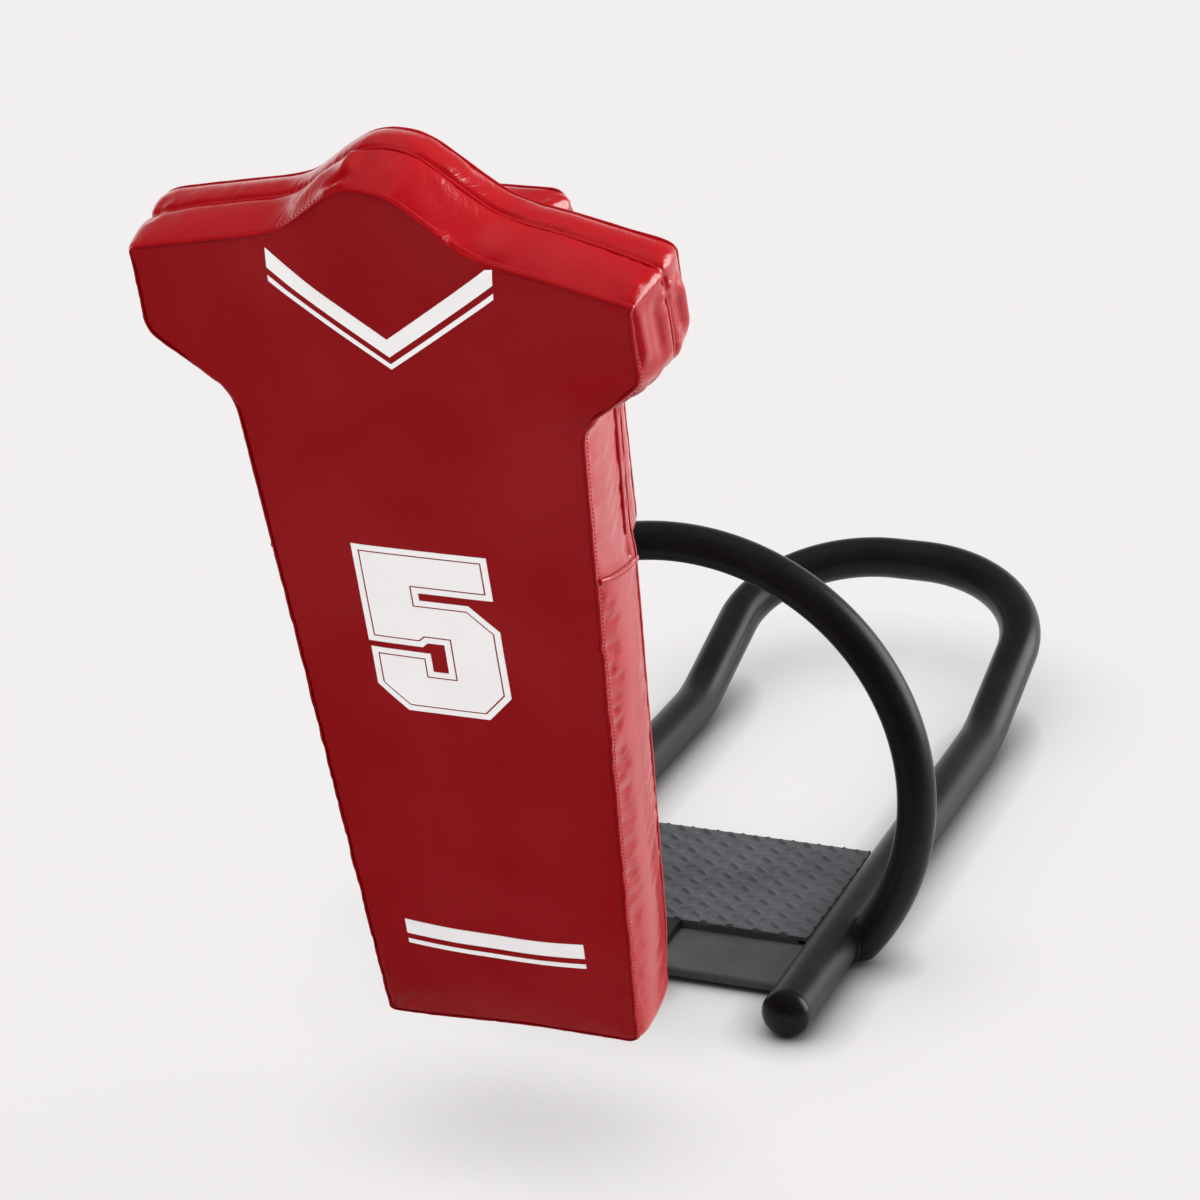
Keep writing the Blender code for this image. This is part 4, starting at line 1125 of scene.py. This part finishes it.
def makeBackBlock(look):
    # A crowned cushion behind the pad's head and waist, with the mast's sleeve cut up into it
    base = fillOutline(look)
    rim, distance = base["rim"], base["distance"]
    pull = (1.0 - np.clip(distance / look["reach"], 0.0, 1.0)) ** 2
    crown = look["back"] + look["crown"] * (1.0 - np.exp(-distance / look["reach"]) - 0.6)
    panels = [
        moveIn(base["flat"], base["normals"][base["nearest"]], look["inset"] * pull, depth)
        for depth in (look["front"], crown)
    ]
    rings = []
    for share in np.linspace(0.0, 1.0, look["rings"] + 1)[1:-1]:
        inset = stripInset(share, look["inset"] * 0.5, look["inset"], 0.0)
        depth = look["front"] + share * (crown[rim] - look["front"])
        rings.append(moveIn(base["border"], base["normals"], inset, depth))
    thick = look["back"] - look["front"]
    nearSeam = [min(k, look["rings"] - k) for k in range(1, look["rings"])]
    gap = [np.full(len(rim), thick * steps / look["rings"]) for steps in nearSeam]
    mesh, order = shellMesh("back_block", base, panels, rings, gap)
    pins = np.full(len(mesh.vertices), look["pins"])
    pins[: len(base["flat"])] = 1.0
    pins[order[-1]] = 1.0
    setPoints(mesh, simulate(mesh, look, pins))
    rear = denseLine(meshPoints(mesh)[order[-1]], 2)
    mesh, points = creased(mesh, look["folds"])
    setPoints(mesh, points)

    half, depth = look["sleeveHalf"], look["sleeveDepth"]
    low, high = np.array([(-half, depth - half, look["sleeve"][0]), (half, depth + half, look["sleeve"][1])])
    boxFaces = [(0, 1, 3, 2), (4, 6, 7, 5), (0, 4, 5, 1), (2, 3, 7, 6), (0, 2, 6, 4), (1, 5, 7, 3)]
    cutterMesh = makeMesh("sleeveCutter", low + cubeCorners * (high - low), boxFaces)
    cutter = bpy.data.objects.new("cutter", cutterMesh)
    collection.objects.link(cutter)
    mesh = modified(mesh, "BOOLEAN", operation="DIFFERENCE", solver="EXACT", object=cutter)
    bpy.data.objects.remove(cutter)
    bpy.data.meshes.remove(cutterMesh)
    mesh.set_sharp_from_angle(angle=math.radians(60.0))
    piece = addPadPiece("back_block_cover", mesh, replaced=("back_block",))
    addPadPiece("block_piping", pipingMesh(rear, look["pipe"], 23))
    print("back block:", len(mesh.polygons), "faces")


makeBackBlock(block)


tread = {
    "grid": 0.0015,
    "pitch": (0.0350, 0.0303),
    "first": (0.0050, 0.2350),  # one bar's middle, across and from the rails' front ends
    "tilt": math.radians(42.0),
    "barLength": 0.0235,
    "barWidth": 0.0078,
    "barHeight": 0.0026,
    "edge": 0.0008,
    "edgeReach": (-0.0002, 0.0012),
    "sideGap": 0.0070,
}


def treadHeights(x, y, look):
    # Lens-shaped bars in two families that lean to either side, each family midway between the other's bars
    height = np.zeros_like(x)
    pitchX, pitchY = look["pitch"]
    for family, lean in ((0.0, look["tilt"]), (0.5, -look["tilt"])):
        u = (x - look["first"][0]) / pitchX - family
        v = (y - look["first"][1]) / pitchY - family
        across, up = (u - np.round(u)) * pitchX, (v - np.round(v)) * pitchY
        along = 2.0 * (across * math.cos(lean) + up * math.sin(lean)) / look["barLength"]
        aside = up * math.cos(lean) - across * math.sin(lean)
        width = look["barWidth"] / 2 * np.clip(1.0 - np.abs(along) ** 2.5, 0.0, 1.0) + 1e-6
        rise = np.clip(1.0 - (aside / width) ** 2, 0.0, 1.0) ** 0.5
        rise *= np.clip(1.0 - np.abs(along) ** 4, 0.0, 1.0)
        height = np.maximum(height, look["barHeight"] * rise)
    return height


def makeTreadPlate(look):
    low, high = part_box("tread_plate")
    low.x += look["sideGap"]
    high.x -= look["sideGap"]
    columns, rows = (int(round(span / look["grid"])) + 1 for span in (high.x - low.x, high.y - low.y))
    x, y = np.meshgrid(np.linspace(low.x, high.x, columns), np.linspace(low.y, high.y, rows))
    height = treadHeights(x, y - railFront, look)
    border = np.minimum(np.minimum(x - low.x, high.x - x), np.minimum(y - low.y, high.y - y))
    top = high.z + height * smoothStep(border, 0.0, look["edgeReach"][1])
    top = top - look["edge"] * (1.0 - smoothStep(border, *look["edgeReach"]))
    points = np.column_stack((x.ravel(), y.ravel(), top.ravel()))
    rim = rimOrder(rows, columns)
    skirt = points[rim].copy()
    skirt[:, 2] = low.z
    ring = len(points) + np.arange(len(rim))
    faces = gridFaces(rows, columns).tolist() + [ring[::-1].tolist()]
    faces[-1:-1] = np.column_stack((rim, ring, np.roll(ring, -1), np.roll(rim, -1))).tolist()
    mesh = makeMesh("tread_plate", np.vstack((points, skirt)), faces, sharp=50.0)
    addPiece("tread_plate_bars", mesh, "treadSteel", "base", ("tread_plate",))
    print("tread plate:", len(mesh.polygons), "faces")


makeTreadPlate(tread)


rails = {
    "centre": 0.2125,  # across, from the middle to each rail's line
    "radius": 0.03015,
    "length": 0.890,
    "bendRadius": 0.220,
    "loopLength": 0.381,
    "loopRise": math.radians(18.0),
    "loopRadius": 0.190,
    "capGap": 0.0003,
    "spacing": 0.006,
    "sides": 48,
}
hoop = {
    "radius": 0.02415, "bend": 0.308, "centreHeight": 0.220, "setback": 0.216, "footHeight": 0.010,
    "steps": 190, "sides": 44,
}
weld = {"radius": 0.0030, "pitch": 0.0042, "ripple": 0.14, "below": 0.004}
tacks = {
    "radius": 0.0042, "pitch": 0.0070, "ripple": 0.10, "length": 0.024, "across": 0.1788, "height": 0.0262,
    "ends": (0.030, 0.025), "count": 4,
}
endCap = {
    "plug": 0.0262, "depth": 0.020, "collar": 0.0030, "length": 0.0223, "groove": (0.0007, 0.0006, 0.0012),
    "proud": 0.0001, "sides": 64,
}


def baseTubePath(look):
    back = look["length"] + look["loopLength"] * math.cos(look["loopRise"])
    top = look["loopLength"] * math.sin(look["loopRise"])
    half = [
        ((look["centre"], look["capGap"], 0.0), 0.0),
        ((look["centre"], look["length"], 0.0), look["bendRadius"]),
        ((look["centre"], back, top), look["loopRadius"]),
    ]
    mirrored = [((-x, y, z), radius) for (x, y, z), radius in reversed(half)]
    path = resample(roundedPath(half + mirrored, 1.5), look["spacing"])
    return path + (0.0, railFront, look["radius"])


def hoopPath(look):
    foot = math.asin((-look["radius"] - look["centreHeight"]) / look["bend"])
    turn = np.linspace(foot, math.pi - foot, look["steps"])
    across, up = look["bend"] * np.cos(turn), look["centreHeight"] + look["bend"] * np.sin(turn)
    return np.column_stack((across, np.full(len(turn), railFront + look["setback"]), up))


def weldLine(side):
    # Where the hoop's torus cuts the rail's cylinder: for each way round the rail, the two places along it
    around = np.linspace(0.0, fullTurn, 721)
    x = rails["centre"] + rails["radius"] * np.cos(around)
    z = rails["radius"] + rails["radius"] * np.sin(around)
    away = np.hypot(x, z - hoop["centreHeight"]) - hoop["bend"]
    order = np.flatnonzero((np.abs(away) < hoop["radius"]) & (z > hoop["footHeight"] - weld["below"]))
    start = np.flatnonzero(np.diff(order) > 1)
    if len(start):
        order = np.roll(order, -(start[0] + 1))
    spread = np.sqrt(hoop["radius"] ** 2 - away[order] ** 2)
    middle = railFront + hoop["setback"]
    ahead, behind = (
        np.column_stack((side * x[order], middle + way * spread, z[order])) for way in (1.0, -1.0)
    )
    return np.vstack((ahead, behind[::-1]))


def flatFoot(mesh, height):
    # Everything below that height cut away, and the cut closed
    bm = bmesh.new()
    bm.from_mesh(mesh)
    geometry = bm.verts[:] + bm.edges[:] + bm.faces[:]
    plane = {"plane_co": (0, 0, height), "plane_no": (0, 0, -1)}
    cut = bmesh.ops.bisect_plane(bm, geom=geometry, clear_outer=True, **plane)["geom_cut"]
    bmesh.ops.holes_fill(bm, edges=[part for part in cut if isinstance(part, bmesh.types.BMEdge)])
    bm.to_mesh(mesh)
    bm.free()


def beadMesh(name, line, look, closed, seed):
    # A round bead along the line whose thickness ripples as the arc moved on
    path = resample(line, look["pitch"] / 4, closed=closed)
    along = np.arange(len(path)) * look["pitch"] / 4
    ripple = look["ripple"] * np.cos(fullTurn * along / look["pitch"])
    radius = look["radius"] * (1.0 + ripple + 0.12 * latticeNoise(path, 0.009, seed))
    return tubeMesh(name, path, radius, 12, closed)


def makeEndCap(side, look):
    # A moulded plug with a domed end: a profile of a collar and then a quarter of an ellipse, turned
    radius = rails["radius"] + look["proud"]
    inner, low, high = radius - look["groove"][0], *look["groove"][1:]
    rounds = np.linspace(0.0, math.pi / 2, 16)[1:-1]
    dome = look["length"] - look["collar"]
    profile = [(0.0, -look["depth"]), (look["plug"], -look["depth"]), (look["plug"], 0.0)]
    profile += [(inner, 0.0), (inner, low), (radius, high), (radius, look["collar"])]
    profile += [(radius * math.cos(t), look["collar"] + dome * math.sin(t)) for t in rounds]
    profile += [(0.0, look["length"])]
    out, forward = np.array(profile).T[:, :, None]
    turn = np.linspace(0.0, fullTurn, look["sides"], endpoint=False)
    points = np.stack(np.broadcast_arrays(-out * np.sin(turn), -forward, out * np.cos(turn)), axis=-1)
    points = points.reshape(-1, 3) + (side * rails["centre"], railFront, rails["radius"])
    return makeMesh("end_cap", points, gridFaces(len(profile), look["sides"], False, True), 35.0)


def makeTubes():
    base = tubeMesh("base_tube", baseTubePath(rails), rails["radius"], rails["sides"], sharp=40.0)
    addPiece("base_tube_smooth", base, "blackPowder", "base", ("base_tube",))
    arch = tubeMesh("roll_hoop", hoopPath(hoop), hoop["radius"], hoop["sides"], start=(0.0, 1.0, 0.0))
    flatFoot(arch, hoop["footHeight"])
    arch.set_sharp_from_angle(angle=math.radians(40.0))
    addPiece("roll_hoop_smooth", arch, "blackPowder", "base", ("roll_hoop",))
    low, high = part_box("tread_plate")
    for side, label in ((1.0, "right"), (-1.0, "left")):
        bead = beadMesh("hoop_weld", weldLine(side), weld, True, 3)
        addPiece("hoop_weld_" + label, bead, "blackPowder", "base")
        cap = makeEndCap(side, endCap)
        addPiece("end_cap_dome_" + label, cap, "blackPlastic", "base", ("end_cap_" + label,))
        beads = []
        for middle in np.linspace(low.y + tacks["ends"][0], high.y - tacks["ends"][1], tacks["count"]):
            ends = middle + np.array((-0.5, 0.5)) * tacks["length"]
            line = np.array([(side * tacks["across"], y, tacks["height"]) for y in ends])
            beads.append(beadMesh("tack", line, tacks, False, int(1000 * abs(middle)) + 5))
        addPiece("tread_tacks_" + label, joinMeshes("tread_tacks", beads), "blackPowder", "base")
    print("tubes and welds made")


makeTubes()


view = {
    "place": (1.3821, -3.6023, 1.9738),  # Y from the rails' front ends
    "right": (0.93450, 0.35550, -0.01789),
    "up": (-0.10901, 0.33366, 0.93637),
    "back": (0.33885, -0.87309, 0.35056),
    "lens": 106.44,
    "sensor": 36.0,
}


def makeCamera(look):
    lensData = bpy.data.cameras.new("photo_camera")
    lensData.lens = look["lens"]
    lensData.sensor_width = look["sensor"]
    lensData.clip_end = 100.0
    camera = bpy.data.objects.new("photo_camera", lensData)
    collection.objects.link(camera)
    place = Matrix.Translation(Vector(look["place"]) + Vector((0.0, railFront, 0.0)))
    camera.matrix_world = place @ Matrix((look["right"], look["up"], look["back"])).transposed().to_4x4()
    bpy.context.scene.camera = camera
    bpy.context.scene.view_settings.view_transform = "Standard"


studio = {
    "background": (0.855, 0.828, 0.833),
    "floorColour": (0.60, 0.583, 0.590),
    "floorShare": 0.09,  # how much of the floor's own shading the camera and mirrors see
    "paintedContactShadows": ((0.060, 1.3), (0.200, 0.8)),  # painted contact shadows in the floor's glow, each: how far the shade from nearness reaches, how deep it is
    "mirrored": (0.03, 1.45),  # how bright mirrors see the surroundings in front of the pad, and the others
    "turns": ((-0.80, -0.25), (-0.30, 0.30)),  # where one turns into the other: Y on the floor, Y of a ray
    "floorSize": 40.0,
    "floorDrop": 0.0006,
    "ambient": (0.40, 0.40, 0.40),
    "darkCeiling": (0.15, 0.15, 0.15),
    "horizonFade": (0.12, 0.45),
}


def seenRays(tree, share=1.0):
    # 1 for rays that a mirror or clear glass sends out, and the given share for the camera's
    path = addNode(tree, "ShaderNodeLightPath").outputs
    direct = mathNode(tree, "MULTIPLY", path["Is Camera Ray"], share)
    mirror = mathNode(tree, "MAXIMUM", direct, path["Is Glossy Ray"])
    return mathNode(tree, "MAXIMUM", mirror, path["Is Transmission Ray"])


def seenLevel(tree, place, turns, levels):
    # 1 for the camera; a mirror's rays get one level in front and another behind, blended between the turns
    mirrored = spreadNode(tree, place, *turns, *levels)
    glossy = addNode(tree, "ShaderNodeLightPath").outputs["Is Glossy Ray"]
    return mathNode(tree, "MULTIPLY_ADD", glossy, mathNode(tree, "SUBTRACT", mirrored, 1.0), 1.0)


def makeFloor(look):
    half, level = look["floorSize"], -look["floorDrop"]
    corners = [(-half, -half, level), (half, -half, level), (half, half, level), (-half, half, level)]
    mesh = bpy.data.meshes.new("floor")
    mesh.from_pydata(corners, [], [(0, 1, 2, 3)])
    floor = bpy.data.objects.new("floor", mesh)
    collection.objects.link(floor)
    material, tree, shader, place = newMaterial("paleFloor")
    setInputs(tree, shader, {"Base Color": look["floorColour"], "Roughness": 0.9, "Specular IOR Level": 0.0})
    depth = addNode(tree, "ShaderNodeSeparateXYZ", {0: place}).outputs[1]
    lit = seenLevel(tree, depth, look["turns"][0], look["mirrored"])
    # Painted contact shadows: the floor's glow is darkened by ambient occlusion under and beside the object
    for reach, strength in look["paintedContactShadows"]:
        paintedShadow = addNode(tree, "ShaderNodeAmbientOcclusion", {"Distance": reach}, samples=8).outputs["AO"]
        lit = mathNode(tree, "MULTIPLY", lit, mathNode(tree, "POWER", paintedShadow, strength))
    glow = addNode(tree, "ShaderNodeEmission", {"Color": look["background"], "Strength": lit})
    inputs = {0: seenRays(tree, 1.0 - look["floorShare"]), 1: shader.outputs[0], 2: glow.outputs[0]}
    both = addNode(tree, "ShaderNodeMixShader", inputs)
    setInputs(tree, tree.nodes["Material Output"], {"Surface": both.outputs[0]})
    mesh.materials.append(material)


def makeWorld(look):
    # Pale near the horizon and dark overhead for what is seen or mirrored, an even grey for diffuse light
    world = bpy.data.worlds.new("studio")
    bpy.context.scene.world = world
    world.use_nodes = True
    tree = world.node_tree
    tree.nodes.clear()
    direction = addNode(tree, "ShaderNodeTexCoord").outputs["Generated"]
    axes = addNode(tree, "ShaderNodeSeparateXYZ", {0: direction}).outputs
    level = seenLevel(tree, axes[1], look["turns"][1], look["mirrored"])
    overhead = spreadNode(tree, axes[2], *look["horizonFade"])
    seen = mixColour(tree, overhead, look["background"], look["darkCeiling"])
    colour = mixColour(tree, seenRays(tree), look["ambient"], seen)
    background = addNode(tree, "ShaderNodeBackground", {"Color": colour, "Strength": level})
    addNode(tree, "ShaderNodeOutputWorld", {"Surface": background.outputs[0]})


# Strengths are the radiance of a white surface that faces the lamp
lamps = [
    {"name": "side", "from": (0.80, 0.46, 0.33), "strength": 1.60, "angle": 50.0, "mirrored": True},
    {"name": "top", "from": (-0.12, -0.06, 0.99), "strength": 1.15, "angle": 56.0, "mirrored": False},
]


def makeLamps(rig):
    for lamp in rig:
        data = bpy.data.lights.new(lamp["name"], "SUN")
        data.energy = lamp["strength"] * math.pi
        data.angle = math.radians(lamp["angle"])
        light = bpy.data.objects.new(lamp["name"], data)
        collection.objects.link(light)
        light.visible_glossy = lamp["mirrored"]
        light.rotation_mode = "QUATERNION"
        light.rotation_quaternion = Vector(lamp["from"]).to_track_quat("Z", "Y")


makeCamera(view)
makeFloor(studio)
makeWorld(studio)
makeLamps(lamps)
print("camera, floor and lamps placed")
